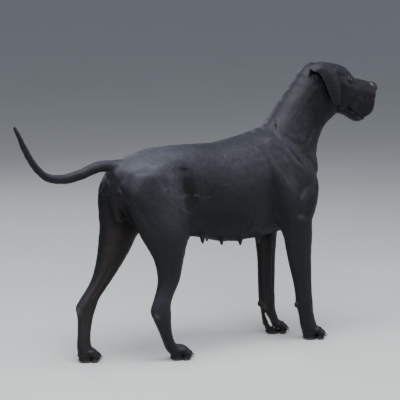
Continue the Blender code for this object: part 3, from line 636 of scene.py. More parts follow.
def trunk_softness(points):
    """The trunk's forms run into each other softly, and the thin legs, tail and teats keep their sizes."""
    share = 0.14 + 0.86 * np.clip((points[:, 2] - 0.36) / 0.14, 0, 1)
    tail = step_between(-points[:, 0], 0.370, 0.410) * (points[:, 2] > 0.62)
    share += (0.05 - share) * tail
    for side in (1, -1):
        for top in teat_tops(side):
            far = np.hypot(points[:, 0] - top.x, points[:, 1] - top.y)
            near = (1 - step_between(far, 0.010, 0.020)) * (points[:, 2] < top.z + 0.012)
            share *= 1 - 0.86 * near
    return share


def body_skin():
    bm = bmesh.new()
    trunk_forms(bm)
    neck_forms(bm)
    for side in (1, -1):
        shoulder_forms(bm, side)
        rump_forms(bm, side)
        leg_loft(bm, foreleg_sections(side))
        leg_loft(bm, hindleg_sections(side))
    elbow_forms(bm)
    stopper_forms(bm)
    perineum_forms(bm)
    loft(bm, tail_sections(), caps=(0.010, 0.008), sides=20, steps=4)
    join_teats(bm)
    return fuse_fine(bm, "skin", SKIN_VOXEL, 57, trunk_softness, 0.0008 - COAT_DEPTH)


def ear_sheet(side):
    """The fine sheet of an ear as rows of points, from its root to its tip."""
    rows, columns = 64, 40
    return [[ear_point(r / (rows - 1), c / (columns - 1), side) for c in range(columns)] for r in range(rows)]


def ear_forms(side):
    """A natural drop ear: a cup that opens backwards at its root, and a flap folded down the cheek."""
    bm = bmesh.new()
    grid = [[bm.verts.new(p) for p in row] for row in ear_sheet(side)]
    for a, b in zip(grid, grid[1:]):
        for i in range(len(a) - 1):
            bm.faces.new((a[i], a[i + 1], b[i + 1], b[i]))
    bmesh.ops.recalc_face_normals(bm, faces=bm.faces)
    piece = object_from(bm, "ear_form")
    thick = piece.modifiers.new("thick", "SOLIDIFY")
    thick.thickness = EAR_THICK
    thick.offset = 0
    bake(piece)
    return piece


def ear_share(points):
    """1 on the flaps of the ears, 0 elsewhere on the head."""
    share = np.zeros(len(points))
    for side in (1, -1):
        sheet = np.array([tuple(p) for row in ear_sheet(side)[8::3] for p in row[::3]])
        near = np.flatnonzero(
            (points > sheet.min(0) - 0.006).all(1) & (points < sheet.max(0) + 0.006).all(1)
        )
        for block in np.array_split(near, max(1, len(near) // 4000)):
            far = np.linalg.norm(points[block, None] - sheet[None], axis=2).min(1)
            share[block] = np.maximum(share[block], 1 - step_between(far, 0.0042, 0.0075))
    return share


def head_softness(points):
    return 1 - 0.88 * ear_share(points)


def head_skin():
    bm = bmesh.new()
    skull_forms(bm)
    jaw_forms(bm)
    muscle(bm, (0.775, 0.0, 0.915), (0.746, 0.0, 0.818), 0.027, 0.020)
    for side in (1, -1):
        flew_forms(bm, side)
        cheek_forms(bm, side)
        ear_lobe(bm, side)
    bmesh.ops.transform(bm, verts=bm.verts, matrix=head_place())
    neck_forms(bm)
    for side in (1, -1):
        place = Matrix.Translation(eye_centre(side))
        reach = EYE_RADIUS + LID_THICK
        bmesh.ops.create_uvsphere(bm, u_segments=32, v_segments=20, radius=reach, matrix=place)
        flap = ear_forms(side)
        bm.from_mesh(flap.data)
        remove(flap)
    return fuse_fine(bm, "head_skin", HEAD_VOXEL, 26, head_softness, -0.0004)


def paw_skin(paw):
    bm = bmesh.new()
    paw_forms(bm, paw)
    return fuse_fine(bm, paw.name, PAW_VOXEL, 16, lambda points: np.ones(len(points)), -0.0004)


def open_at(piece, point, normal):
    """Cuts the piece open at a plane and drops what lies on the normal's side."""
    bm = bmesh.new()
    bm.from_mesh(piece.data)
    geom = [*bm.verts, *bm.edges, *bm.faces]
    bmesh.ops.bisect_plane(bm, geom=geom, plane_co=point, plane_no=normal, clear_outer=True)
    bm.to_mesh(piece.data)
    bm.free()


def open_edge_loops(bm):
    """The mesh's open edges, loop by loop."""
    left = {e for e in bm.edges if e.is_boundary}
    loops = []
    while left:
        loop = [left.pop()]
        front = list(loop)
        while front:
            near = {e for f in front for v in f.verts for e in v.link_edges} & left
            left -= near
            loop += near
            front = list(near)
        loops.append(loop)
    return loops


def middle_of_loop(loop):
    return sum((v.co for e in loop for v in e.verts), Vector()) / (2 * len(loop))


def sew(body, parts):
    """Joins the open parts to the body: every open edge is bridged to the nearest other one."""
    bm = bmesh.new()
    bm.from_mesh(body.data)
    for part in parts:
        bm.from_mesh(part.data)
        remove(part)
    loops = [l for l in open_edge_loops(bm) if len(l) > 12]
    while loops:
        loop = loops.pop()
        middle = middle_of_loop(loop)
        mate = min(loops, key=lambda other: (middle_of_loop(other) - middle).length)
        loops.remove(mate)
        bmesh.ops.bridge_loops(bm, edges=loop + mate)
    bmesh.ops.triangulate(bm, faces=[f for f in bm.faces if len(f.verts) > 4])
    bmesh.ops.recalc_face_normals(bm, faces=bm.faces)
    bm.to_mesh(body.data)
    bm.free()


def soften_seams(piece):
    """Evens out the skin where its parts were sewn together."""
    points = points_of(piece)
    near = np.exp(-((ahead_of_neck(points) / 0.014) ** 2)) * (points[:, 2] > 0.7)
    near = np.maximum(near, np.exp(-(((points[:, 2] - PAW_CUT) / 0.008) ** 2)))
    soften(piece, near * (1 - ear_share(points)), 30)


def calm_face(piece):
    """Evens out the forehead beside its middle and the hem of the flews, where several muscles meet."""
    points = points_of(piece)
    near = np.zeros(len(points))
    for side in (1, -1):
        for spot, reach in (((0.606, 0.048, 0.988), 0.024), ((0.742, 0.022, 0.824), 0.018)):
            middle = np.array(head_place() @ Vector((spot[0], spot[1] * side, spot[2])))
            near = np.maximum(near, np.exp(-((np.linalg.norm(points - middle, axis=1) / reach) ** 2)))
    soften(piece, near * (1 - ear_share(points)), 90)


def refine(piece, centres, radius):
    """Halves the faces near the given points."""
    bm = bmesh.new()
    bm.from_mesh(piece.data)
    edges = [e for e in bm.edges if min((e.verts[0].co - c).length for c in centres) < radius]
    bmesh.ops.subdivide_edges(bm, edges=edges, cuts=1, use_grid_fill=True)
    bmesh.ops.triangulate(bm, faces=[f for f in bm.faces if len(f.verts) > 4])
    bm.to_mesh(piece.data)
    bm.free()


def whole_skin():
    body = body_skin()
    gap = 0.0035
    open_at(body, HEAD_CUT - HEAD_CUT_NORMAL * gap, HEAD_CUT_NORMAL)
    open_at(body, (0, 0, PAW_CUT + gap / 2), (0, 0, -1))
    face = head_skin()
    open_at(face, HEAD_CUT, -HEAD_CUT_NORMAL)
    parts = [face]
    for paw in paws():
        foot = paw_skin(paw)
        open_at(foot, (0, 0, PAW_CUT), (0, 0, 1))
        parts.append(foot)
    sew(body, parts)
    soften_seams(body)
    calm_face(body)
    refine(body, [eye_centre(1), eye_centre(-1)], 0.022)
    return body


# Sculpting: strokes that raise or sink the skin along lines on it

Stroke = namedtuple("Stroke", "line width depth both", defaults=(True,))

SEAT_CREASE = ((-0.374, -0.052, 0.640), (-0.368, -0.068, 0.618), (-0.359, -0.090, 0.594),
               (-0.344, -0.097, 0.556))

BODY_STROKES = (
    # shoulder folds
    Stroke(((0.306, -0.030, 0.818), (0.290, -0.051, 0.784), (0.298, -0.083, 0.759), (0.318, -0.098, 0.733),
            (0.342, -0.110, 0.698), (0.372, -0.115, 0.662)), 0.0075, -0.0042, False),
    Stroke(((0.316, -0.034, 0.818), (0.306, -0.056, 0.790), (0.314, -0.080, 0.766), (0.334, -0.096, 0.738),
            (0.358, -0.108, 0.702)), 0.0080, 0.0020, False),
    Stroke(((0.297, -0.026, 0.806), (0.308, -0.058, 0.800), (0.330, -0.080, 0.770), (0.350, -0.096, 0.735)),
           0.0050, -0.0018, False),
    Stroke(((0.300, 0.051, 0.790), (0.310, 0.083, 0.758), (0.335, 0.104, 0.715)), 0.0090, -0.0022, False),
    # withers and the shoulder blade
    Stroke(((0.266, -0.022, 0.801), (0.266, 0.022, 0.801)), 0.0070, -0.0034, False),
    Stroke(((0.246, -0.014, 0.791), (0.246, 0.014, 0.791)), 0.0110, 0.0030, False),
    Stroke(((0.224, -0.018, 0.786), (0.224, 0.018, 0.786)), 0.0060, -0.0022, False),
    Stroke(((0.206, -0.014, 0.780), (0.206, 0.014, 0.780)), 0.0110, 0.0022, False),
    Stroke(((0.238, -0.060, 0.765), (0.300, -0.105, 0.680), (0.372, -0.116, 0.590)), 0.0120, 0.0020),
    Stroke(((0.215, -0.080, 0.745), (0.262, -0.115, 0.670), (0.330, -0.124, 0.590)), 0.0140, -0.0022),
    # the hind border of the upper arm, and the armpit
    Stroke(((0.216, -0.116, 0.675), (0.236, -0.121, 0.600), (0.258, -0.110, 0.520), (0.290, -0.108, 0.440)),
           0.0150, -0.0045),
    Stroke(((0.300, -0.126, 0.640), (0.292, -0.126, 0.540), (0.312, -0.116, 0.450)), 0.0220, 0.0018),
    Stroke(((0.362, -0.118, 0.590), (0.345, -0.122, 0.520), (0.352, -0.116, 0.450)), 0.0120, -0.0012),
    Stroke(((0.430, -0.112, 0.610), (0.410, -0.118, 0.540), (0.402, -0.112, 0.470)), 0.0240, 0.0012),
    # neck: the groove of the vein and the long muscle over it
    Stroke(((0.520, -0.058, 0.862), (0.479, -0.066, 0.817), (0.430, -0.082, 0.750), (0.412, -0.104, 0.690)),
           0.0120, -0.0034),
    Stroke(((0.470, -0.068, 0.880), (0.425, -0.078, 0.820), (0.380, -0.098, 0.745)), 0.0180, 0.0018),
    # breast
    Stroke(((0.500, 0.0, 0.640), (0.488, 0.0, 0.540), (0.450, 0.0, 0.455)), 0.0100, -0.0035),
    Stroke(((0.494, -0.040, 0.620), (0.478, -0.045, 0.540)), 0.0220, 0.0024),
    # ribs and the belly
    *(
        Stroke(((x, -0.105, 0.690), (x + 0.022, -0.130, 0.600), (x + 0.052, -0.118, 0.500)), 0.0065, 0.0008)
        for x in (-0.040, -0.008, 0.024, 0.056, 0.088, 0.120)
    ),
    Stroke(((-0.060, -0.100, 0.640), (-0.035, -0.112, 0.560), (0.020, -0.110, 0.480)), 0.0180, -0.0022),
    # flank: the hollow, the fold of skin and the front edge of the thigh
    Stroke(((-0.132, -0.098, 0.695), (-0.142, -0.112, 0.640), (-0.134, -0.118, 0.585)), 0.0240, -0.0080),
    Stroke(((-0.160, -0.126, 0.541), (-0.130, -0.117, 0.531), (-0.086, -0.096, 0.512),
            (-0.030, -0.086, 0.488)), 0.0060, 0.0034),
    Stroke(((-0.158, -0.120, 0.526), (-0.126, -0.110, 0.514), (-0.084, -0.090, 0.496)), 0.0070, -0.0034),
    Stroke(((-0.178, -0.100, 0.705), (-0.190, -0.122, 0.640), (-0.178, -0.127, 0.590),
            (-0.163, -0.130, 0.545), (-0.150, -0.128, 0.496), (-0.138, -0.124, 0.462)), 0.0090, 0.0040),
    # rump: hip bone, hollow behind it, seat bone
    Stroke(((-0.150, -0.072, 0.722), (-0.156, -0.080, 0.706)), 0.0170, 0.0030),
    Stroke(((-0.250, -0.118, 0.672), (-0.222, -0.127, 0.622)), 0.0160, -0.0030),
    Stroke(((-0.366, -0.056, 0.655), (-0.362, -0.066, 0.640)), 0.0180, 0.0025),
    Stroke(((-0.090, 0.0, 0.758), (0.120, 0.0, 0.764)), 0.0090, -0.0012, False),
    # the crease down the buttock and the hamstrings
    Stroke(SEAT_CREASE, 0.0075, -0.0030),
    Stroke(((-0.380, -0.050, 0.628), (-0.368, -0.082, 0.588), (-0.354, -0.090, 0.552)), 0.0050, 0.0016),
    Stroke(((-0.340, -0.106, 0.600), (-0.325, -0.112, 0.555), (-0.292, -0.122, 0.506),
            (-0.252, -0.131, 0.462)), 0.0120, -0.0036),
    Stroke(((-0.300, -0.118, 0.590), (-0.262, -0.130, 0.530), (-0.215, -0.134, 0.460)), 0.0180, 0.0026),
    # knee
    Stroke(((-0.122, -0.094, 0.440), (-0.130, -0.094, 0.415)), 0.0150, 0.0022, False),
    Stroke(((-0.226, 0.094, 0.438), (-0.236, 0.094, 0.412)), 0.0150, 0.0022, False),
)


def swell_teats(piece):
    """The soft swelling round each teat."""
    points = points_of(piece)
    for side in (1, -1):
        for top in teat_tops(side):
            far = np.hypot(points[:, 0] - top.x, points[:, 1] - top.y)
            under = 1 - step_between(points[:, 2], top.z + 0.010, top.z + 0.040)
            points[:, 2] -= 0.0078 * np.exp(-((far / 0.0190) ** 2)) * under
    set_points(piece, points)


def leg_line(sections, low, high, share, out):
    """A line down a leg between two heights: share runs from its front to its back, out from its middle."""
    points = []
    for row in smooth_sections(sections, 3):
        tx, tz, ux, uz, width, y, _, _ = row
        if low <= (tz + uz) / 2 <= high:
            points.append((tx + (ux - tx) * share, y + out * width, tz + (uz - tz) * share))
    return tuple(points)


def leg_strokes():
    """Grooves between the sinews and the bones, the same on both faces of each leg."""
    strokes = []
    for side in (1, -1):
        fore = foreleg_sections(side)
        hind = hindleg_sections(side)
        for out in (0.92, -0.92):
            strokes.append(Stroke(leg_line(hind, 0.225, 0.375, 0.66, out), 0.0085, -0.0030, False))
            strokes.append(Stroke(leg_line(hind, 0.090, 0.205, 0.62, out), 0.0050, -0.0022, False))
            strokes.append(Stroke(leg_line(hind, 0.240, 0.400, 0.24, out), 0.0080, 0.0016, False))
            strokes.append(Stroke(leg_line(fore, 0.170, 0.400, 0.36, out), 0.0055, -0.0020, False))
            strokes.append(Stroke(leg_line(fore, 0.080, 0.340, 0.70, out), 0.0055, -0.0024, False))
            strokes.append(Stroke(leg_line(fore, 0.128, 0.160, 0.22, out), 0.0090, 0.0018, False))
        strokes.append(Stroke(leg_line(hind, 0.175, 0.215, 1.0, 0.0), 0.0090, 0.0014, False))
    return [s for s in strokes if len(s.line) > 1]


def apply_strokes(piece, strokes, place=None):
    points = points_of(piece)
    normals = normals_of(piece)
    move = np.zeros(len(points))
    for stroke in strokes:
        for side in (-1, 1) if stroke.both else (-1,):
            line = [Vector((x, y * (1 if side < 0 else -1), z)) for x, y, z in stroke.line]
            if place is not None:
                line = [place @ p for p in line]
            reach = 3 * stroke.width
            low = np.min([tuple(p) for p in line], 0) - reach
            high = np.max([tuple(p) for p in line], 0) + reach
            near = np.flatnonzero((points > low).all(1) & (points < high).all(1))
            far, share = to_line(points[near], line)
            fade = step_between(share, -0.01, 0.14) * (1 - step_between(share, 0.86, 1.01))
            fade = 0.35 + 0.65 * fade
            move[near] += stroke.depth * fade * np.exp(-((far / stroke.width) ** 2))
    set_points(piece, points + normals * move[:, None])


HEAD_STROKES = (
    # furrow between the brows, brow ridges, hollow of the temple, cheekbone
    Stroke(((0.655, 0.0, 0.990), (0.620, 0.0, 1.012), (0.570, 0.0, 1.026)), 0.0070, -0.0018, False),
    Stroke(((0.612, -0.040, 0.985), (0.640, -0.038, 0.983), (0.660, -0.026, 0.972)), 0.0090, 0.0010),
    Stroke(((0.585, -0.058, 0.992), (0.612, -0.056, 0.972)), 0.0150, -0.0010),
    Stroke(((0.588, -0.066, 0.950), (0.625, -0.056, 0.938), (0.660, -0.046, 0.932)), 0.0060, 0.0014),
    Stroke(((0.600, -0.066, 0.932), (0.640, -0.054, 0.918), (0.672, -0.046, 0.912)), 0.0080, -0.0014),
    # cheek edge behind the corner of the mouth, folds of the flews
    Stroke(((0.650, -0.050, 0.905), (0.640, -0.056, 0.880), (0.636, -0.054, 0.856)), 0.0050, -0.0022),
    Stroke(((0.668, -0.046, 0.890), (0.662, -0.050, 0.868), (0.668, -0.048, 0.848)), 0.0038, -0.0014),
    Stroke(((0.700, -0.052, 0.900), (0.704, -0.054, 0.860)), 0.0140, 0.0014),
    # the groove under the nose
    Stroke(((0.800, 0.0, 0.904), (0.796, 0.0, 0.880), (0.790, 0.0, 0.852)), 0.0026, -0.0030, False),
    # bridge of the nose and the edge beside it
    Stroke(((0.690, -0.030, 0.958), (0.745, -0.028, 0.945)), 0.0070, -0.0014),
)

LIP_LINE = ((0.640, 0.866), (0.662, 0.846), (0.690, 0.826), (0.722, 0.815), (0.752, 0.812), (0.776, 0.818))


def shape_lips(piece):
    """The line between the lips, sunk from both sides, with the lips rolled beside it."""
    points = points_of(piece)
    normals = normals_of(piece)
    drawn = as_drawn(points)
    near = np.flatnonzero((drawn[:, 0] > 0.62) & (drawn[:, 2] < 0.90) & (drawn[:, 2] > 0.78))
    flat = drawn[near] * np.array([1, 0, 1])
    far, share = to_line(flat, [(x, 0, z) for x, z in LIP_LINE])
    beside = step_between(np.abs(normals[near, 1]), 0.15, 0.4)
    ends = step_between(share, 0.0, 0.06)
    groove = -0.0052 * np.exp(-((far / 0.0020) ** 2)) + 0.0011 * np.exp(-(((far - 0.0052) / 0.0026) ** 2))
    points[near] += normals[near] * (groove * beside * ends)[:, None]
    set_points(piece, points)


def eye_axes(side):
    forward = eye_forward(side)
    across = forward.cross(Vector((0, 0, 1))).normalized()
    return forward, across, across.cross(forward).normalized()


def shape_lids(piece):
    """The almond between the lids, with their thick rims and the crease over the upper one."""
    points = points_of(piece)
    for side in (1, -1):
        centre = np.array(eye_centre(side))
        forward, across, up = (np.array(v) for v in eye_axes(side))
        rel = points - centre
        far = np.linalg.norm(rel, axis=1)
        near = np.flatnonzero((far < 0.036) & (rel @ forward > 0.001))
        rel, far = rel[near], far[near]
        x, y = rel @ across / 0.0112, rel @ up / 0.0050
        y = y / (1 - 0.38 * np.clip(np.abs(x), 0, 1)) + 0.10
        ratio = np.hypot(x, y)
        inside = 1 - step_between(ratio, 0.86, 1.02)
        lid = 1 - step_between(ratio, 1.5, 2.5)
        rim = np.exp(-(((ratio - 1.12) / 0.10) ** 2)) * 0.0003
        crease = -0.0009 * np.exp(-(((ratio - 2.15) / 0.20) ** 2)) * step_between(y, 0.2, 1.2)
        bag = -0.0007 * np.exp(-(((ratio - 2.1) / 0.25) ** 2)) * step_between(-y, 0.2, 1.2)
        shell = EYE_RADIUS + 0.0014 + rim
        shell = shell * (1 - inside) + (EYE_RADIUS - 0.0030) * inside
        target = far + (shell - far) * lid + crease + bag
        points[near] = centre + rel / far[:, None] * target[:, None]
    set_points(piece, points)


def seat_nose(piece):
    """Sinks the skin where the nose leather sits on it."""
    points = points_of(piece)
    drawn = as_drawn(points)
    rel = (drawn - np.array([0.772, 0, 0.924])) / np.array([0.024, 0.027, 0.026])
    sink = 0.0042 * (1 - step_between(np.linalg.norm(rel, axis=1), 0.75, 1.15))
    set_points(piece, points - normals_of(piece) * sink[:, None])


def shape_whisker_beds(piece):
    """Small raised dots in rows on the flews, where the whiskers root."""
    points = points_of(piece)
    normals = normals_of(piece)
    move = np.zeros(len(points))
    for bed in whisker_beds():
        far = np.linalg.norm(points - np.array(bed), axis=1)
        near = np.flatnonzero(far < 0.016)
        if len(near):
            spot = points[near[np.argmin(far[near])]]
            reach = np.linalg.norm(points - spot, axis=1)
            move += 0.0005 * np.exp(-((reach / 0.0022) ** 2))
    set_points(piece, points + normals * move[:, None])


def whisker_beds():
    """Where the whiskers root: four rows on each side of the muzzle."""
    for side in (1, -1):
        for row in range(4):
            for number in range(5):
                x = 0.722 + 0.011 * number + 0.004 * row
                z = 0.905 - 0.015 * row - 0.002 * number
                if x < 0.782:
                    yield head_place() @ Vector((x, 0.052 * side, z))


def add_wrinkles(piece):
    """Faint unevenness of muscle and skin all over, so that no form is as smooth as clay."""
    points = points_of(piece)
    normals = normals_of(piece)
    x, y, z = points.T
    wave = np.sin(31 * x + 9 * np.sin(17 * z)) * np.sin(27 * z + 7 * np.sin(23 * x + 11 * y))
    wave += 0.5 * np.sin(83 * x + 5 * np.sin(41 * z) + 19 * y) * np.sin(71 * z + 4 * np.sin(57 * x))
    calm = step_between(z, 0.10, 0.45) * (1 - 0.8 * step_between(x, 0.45, 0.55))
    set_points(piece, points + normals * (0.00055 * wave * calm)[:, None])


def tuck_in(piece):
    """Keeps the widest and the highest skin inside the solids, with room for the hair on it."""
    points = points_of(piece)
    wide = np.maximum(np.abs(points[:, 1]) - 0.1280, 0)
    points[:, 1] -= np.sign(points[:, 1]) * wide * 0.30
    points[:, 2] -= np.maximum(points[:, 2] - 1.0180, 0) * 0.18
    set_points(piece, points)


def stand_on_floor(piece):
    """Flattens the pads where they carry her weight."""
    points = points_of(piece)
    points[:, 2] = np.maximum(points[:, 2], 0.0008)
    set_points(piece, points)


# Markings


def near_line(points, line, radius):
    far, _ = to_line(points, line)
    return np.exp(-((far / radius) ** 2))


def ripple(points, scale):
    """A smooth unevenness between -1 and 1."""
    x, y, z = points.T * scale
    wave = np.sin(1.7 * x + 2.1 * np.sin(1.3 * y + z)) * np.cos(1.9 * z + 1.6 * np.sin(1.1 * x - y))
    return 0.6 * wave + 0.4 * np.sin(3.9 * y + 2.3 * np.sin(2.7 * x + 3.1 * z))


# Lines of paler hair or bare skin: the line, how wide it is, how strong
WHITE_LINES = (
    (((0.336, 0.058, 0.082), (0.348, 0.052, 0.055), (0.356, 0.050, 0.036)), 0.0056, 1.0),
    (((0.372, 0.052, 0.030), (0.402, 0.052, 0.020)), 0.0058, 1.0),
    (((0.384, -0.100, 0.096), (0.390, -0.103, 0.078)), 0.0050, 1.0),
    (((0.444, -0.095, 0.028), (0.462, -0.094, 0.022)), 0.0055, 0.9),
)
GREY_LINES = (
    (((-0.243, -0.097, 0.167), (-0.247, -0.094, 0.172)), 0.0075, 0.55),
    (((-0.466, 0.076, 0.190), (-0.468, 0.080, 0.176)), 0.0110, 0.60),
    (((-0.368, 0.0, 0.664), (-0.380, 0.0, 0.610), (-0.384, 0.0, 0.570), (-0.372, 0.0, 0.535)), 0.0030, 0.60),
    (((0.328, 0.058, 0.118), (0.330, 0.058, 0.106)), 0.0080, 0.35),
)
FLECKS = ((-0.069, -0.036, 0.749), (-0.091, -0.109, 0.591), (-0.076, -0.108, 0.587), (-0.051, -0.107, 0.576),
          (-0.033, -0.107, 0.578))

# Painted sheen where the coat is paler and painted shade where it is darker, on both sides: the line, how far
# it reaches, how much
PAINTED_LIGHT_LINES = (
    (((-0.150, 0.050, 0.745), (-0.300, 0.050, 0.715)), 0.075, 0.55),
    (((-0.190, 0.125, 0.620), (-0.200, 0.125, 0.530)), 0.070, 0.35),
    (((0.300, 0.110, 0.690), (0.350, 0.115, 0.600)), 0.055, 0.30),
    (((0.470, 0.040, 0.640), (0.470, 0.040, 0.560)), 0.050, 0.25),
    (((-0.220, 0.090, 0.230), (-0.420, 0.090, 0.130)), 0.060, 0.25),
    (((0.080, 0.120, 0.660), (0.200, 0.120, 0.640)), 0.080, 0.18),
    (((0.500, 0.060, 0.880), (0.540, 0.060, 0.820)), 0.060, -0.30),
    (((-0.128, 0.105, 0.690), (-0.120, 0.112, 0.580)), 0.032, -0.40),
    (((-0.100, 0.090, 0.480), (0.120, 0.100, 0.440)), 0.050, -0.30),
    (((0.225, 0.118, 0.620), (0.280, 0.108, 0.450)), 0.030, -0.30),
)


def strongest(points, lines):
    """The strongest of several lines at every point."""
    best = np.zeros(len(points))
    for line, radius, share in lines:
        best = np.maximum(best, share * near_line(points, line, radius))
    return best


def markings(points, normals):
    """White, brown, grey of bare skin and of a painted highlight along the ears' edges, and wetness, each
    from 0 to 1, at every point.
    """
    x, y, z = points.T
    rough = ripple(points, 190) * 0.24 + ripple(points, 430) * 0.18
    white = step_between(strongest(points, WHITE_LINES) + rough, 0.42, 0.78)
    brown = 0.30 * step_between(-np.abs(y), -0.040, -0.012) * step_between(-x, 0.325, 0.355)
    brown = brown * step_between(z, 0.47, 0.52) * (1 - step_between(z, 0.655, 0.675))
    inner = step_between(-normals[:, 1] * np.sign(y), 0.2, 0.8)
    brown = np.maximum(brown, 0.55 * inner * (1 - step_between(z, 0.42, 0.56)) * (x < 0.0))
    brown = np.maximum(brown, 0.25 * inner * (1 - step_between(z, 0.36, 0.46)))
    brown = brown * (0.8 + 0.4 * ripple(points, 40))
    flecks = [((fx, fy, fz), (fx - 0.004, fy, fz - 0.001)) for fx, fy, fz in FLECKS]
    grey = strongest(points, [*GREY_LINES, *((fleck, 0.0032, 0.45) for fleck in flecks)])
    for side in (1, -1):
        # a pale painted highlight along both edges of each ear
        for v in (0.0, 1.0):
            rim = [ear_point(u, v, side) for u in np.linspace(0.18, 0.98, 24)]
            grey = np.maximum(grey, 0.42 * near_line(points, rim, 0.0026))
        for top in teat_tops(side):
            tip = top + Vector((0, 0.002 * side, -teat_drop(top.x) - 0.004))
            grey = np.maximum(grey, 0.30 * near_line(points, (top, tip), 0.0070) * (z < top.z + 0.002))
    grey = np.maximum(grey, 0.8 * (1 - step_between(z, 0.004, 0.010)))
    bare = 1 - step_between(z, 0.004, 0.010)
    return np.clip(np.stack([white, brown, grey, bare + wetness(points)], 1), 0, 1)


def painted_light_on(points, normals):
    """How much painted sheen lies on the black coat: most on what faces up, on the croup and the back, least
    on her underside, and less where painted shade darkens the flank's hollow, the neck behind the ear, the
    lower flank and behind the elbow, with a little random unevenness.
    """
    x, y, z = points.T
    flat = np.stack([x, np.abs(y), z], 1)
    # painted sheen: paler where the skin faces up, where the light falls
    painted_light = 0.10 + 0.45 * step_between(normals[:, 2], -0.15, 0.90)
    for line, radius, share in PAINTED_LIGHT_LINES:
        painted_light += share * near_line(flat, line, radius)
    ahead = ahead_of_neck(points)
    painted_light *= 1 - 0.55 * step_between(ahead, 0.02, 0.08) * (z > 0.78)
    painted_light += 0.14 * ear_share(points)
    # a pale painted highlight along each ear's crest and a dark painted shadow along its root
    for side in (1, -1):
        crest = [ear_point(0.175, v, side) for v in np.linspace(0.05, 0.95, 12)]
        root = [ear_point(0.02, v, side) for v in np.linspace(0.05, 0.95, 12)]
        painted_light += 0.25 * near_line(points, crest, 0.0050) - 0.25 * near_line(points, root, 0.0080)
    painted_light *= 0.90 + 0.10 * ripple(points, 17) + 0.08 * ripple(points, 61)
    return np.clip(painted_light, 0, 1)


def wetness(points):
    """The bare wet rims of the lids and the lips."""
    drawn = as_drawn(points)
    flat = (drawn + np.array([0, 0, 0.0055])) * np.array([1, 0, 1])
    far, share = to_line(flat, [(x, 0, z) for x, z in LIP_LINE])
    wet = np.exp(-((far / 0.0032) ** 2)) * step_between(share, 0.25, 0.5) * (drawn[:, 0] > 0.66)
    for side in (1, -1):
        centre = np.array(eye_centre(side))
        forward, across, up = (np.array(v) for v in eye_axes(side))
        rel = points - centre
        ratio = np.hypot(rel @ across / 0.0112, rel @ up / 0.0054)
        near = (np.linalg.norm(rel, axis=1) < 0.020) & (rel @ forward > 0)
        wet = np.maximum(wet, near * (1 - step_between(ratio, 1.1, 1.5)))
    return wet


def paint(piece, points, normals):
    marks = markings(points, normals)
    layer = piece.data.color_attributes.new("marks", "FLOAT_COLOR", "POINT")
    layer.data.foreach_set("color", marks.astype(np.float32).ravel())
    # the coat's painted sheen and painted shade
    layer = piece.data.attributes.new("painted_light", "FLOAT", "POINT")
    layer.data.foreach_set("value", painted_light_on(points, normals).astype(np.float32))


# The lie of the coat


def lie_of(points, normals):
    """The direction in which the hair lies at every point, along the skin."""
    x, y, z = points.T
    lie = np.tile(np.array([-1.0, 0.0, -0.30]), (len(points), 1))
    down = np.array([0.0, 0.0, -1.0])
    leg = 1 - step_between(z, 0.36, 0.52)
    front = step_between(x, 0.30, 0.46) * step_between(z, 0.40, 0.50)
    lie = lie * (1 - leg[:, None]) + down * leg[:, None]
    foot = 1 - step_between(z, 0.045, 0.085)
    lie = lie * (1 - foot[:, None]) + np.array([0.75, 0.0, -0.65]) * foot[:, None]
    lie = lie * (1 - front[:, None]) + np.array([-0.35, 0.0, -1.0]) * front[:, None]
    neck = step_between(0.46 * (x - 0.255) + 0.79 * (z - 0.808), -0.03, 0.06) * (x > 0.2)
    lie = lie * (1 - neck[:, None]) + np.array([-0.62, 0.0, -0.78]) * neck[:, None]
    face = step_between(ahead_of_neck(points), 0.02, 0.08) * (x > 0.4)
    back = np.array(head_turn() @ Vector((-1.0, 0.0, -0.22)))
    lie = lie * (1 - face[:, None]) + back * face[:, None]
    ears = ear_share(points) * (z < 1.010)
    lie = lie * (1 - ears[:, None]) + np.array([0.25, 0.0, -1.0]) * ears[:, None]
    middles = np.array([tuple(middle_of(flat_numbers(s))) for s in tail_sections()])
    tail = np.flatnonzero((x < -0.385) & (z > 0.64))
    if len(tail):
        slopes = np.gradient(middles, axis=0)
        nearest = np.linalg.norm(points[tail, None] - middles[None], axis=2).argmin(1)
        lie[tail] = slopes[nearest]
    lie += 0.16 * np.stack([ripple(points, 23), ripple(points + 1.7, 29), ripple(points + 3.1, 26)], 1)
    lie -= normals * (lie * normals).sum(1)[:, None]
    return lie / (np.linalg.norm(lie, axis=1)[:, None] + EOS)


# An unwrap of her own shape: each part of her is laid out along and around its middle line


def part_lines():
    """The middle line, the nominal thickness and the place on the map of each part of her body."""
    place = head_place()
    face = [place @ Vector(p) for p in ((0.540, 0, 0.940), (0.640, 0, 0.925), (0.790, 0, 0.885))]
    lines = [
        (((-0.390, 0, 0.650), (-0.200, 0, 0.600), (0.100, 0, 0.580), (0.370, 0, 0.600)), 0.120,
         (0.01, 0.01, 0.55, 0.48)),
        (((0.370, 0, 0.640), (0.450, 0, 0.800), (0.530, -0.006, 0.925)), 0.075, (0.57, 0.01, 0.20, 0.48)),
        (face, 0.055, (0.78, 0.01, 0.21, 0.48)),
    ]
    slots = ((0.01, 0.50), (0.25, 0.50), (0.49, 0.50), (0.73, 0.50))
    legs = (foreleg_sections(-1), foreleg_sections(1), hindleg_sections(-1), hindleg_sections(1))
    for (left, low), sections in zip(slots, legs):
        middles = [middle_of(flat_numbers(s)) for s in sections]
        middles.append(Vector((middles[-1].x + 0.045, middles[-1].y, 0.015)))
        lines.append((middles, 0.034, (left, low, 0.23, 0.26)))
    tail = [middle_of(flat_numbers(s)) for s in tail_sections()]
    lines.append((tail, 0.015, (0.01, 0.78, 0.60, 0.10)))
    for left, side in ((0.63, 1), (0.81, -1)):
        middles = [ear_point(u, 0.5, side) for u in (0.25, 0.4, 0.6, 0.8, 1.0)]
        lines.append((middles, 0.012, (left, 0.78, 0.17, 0.16)))
    return lines


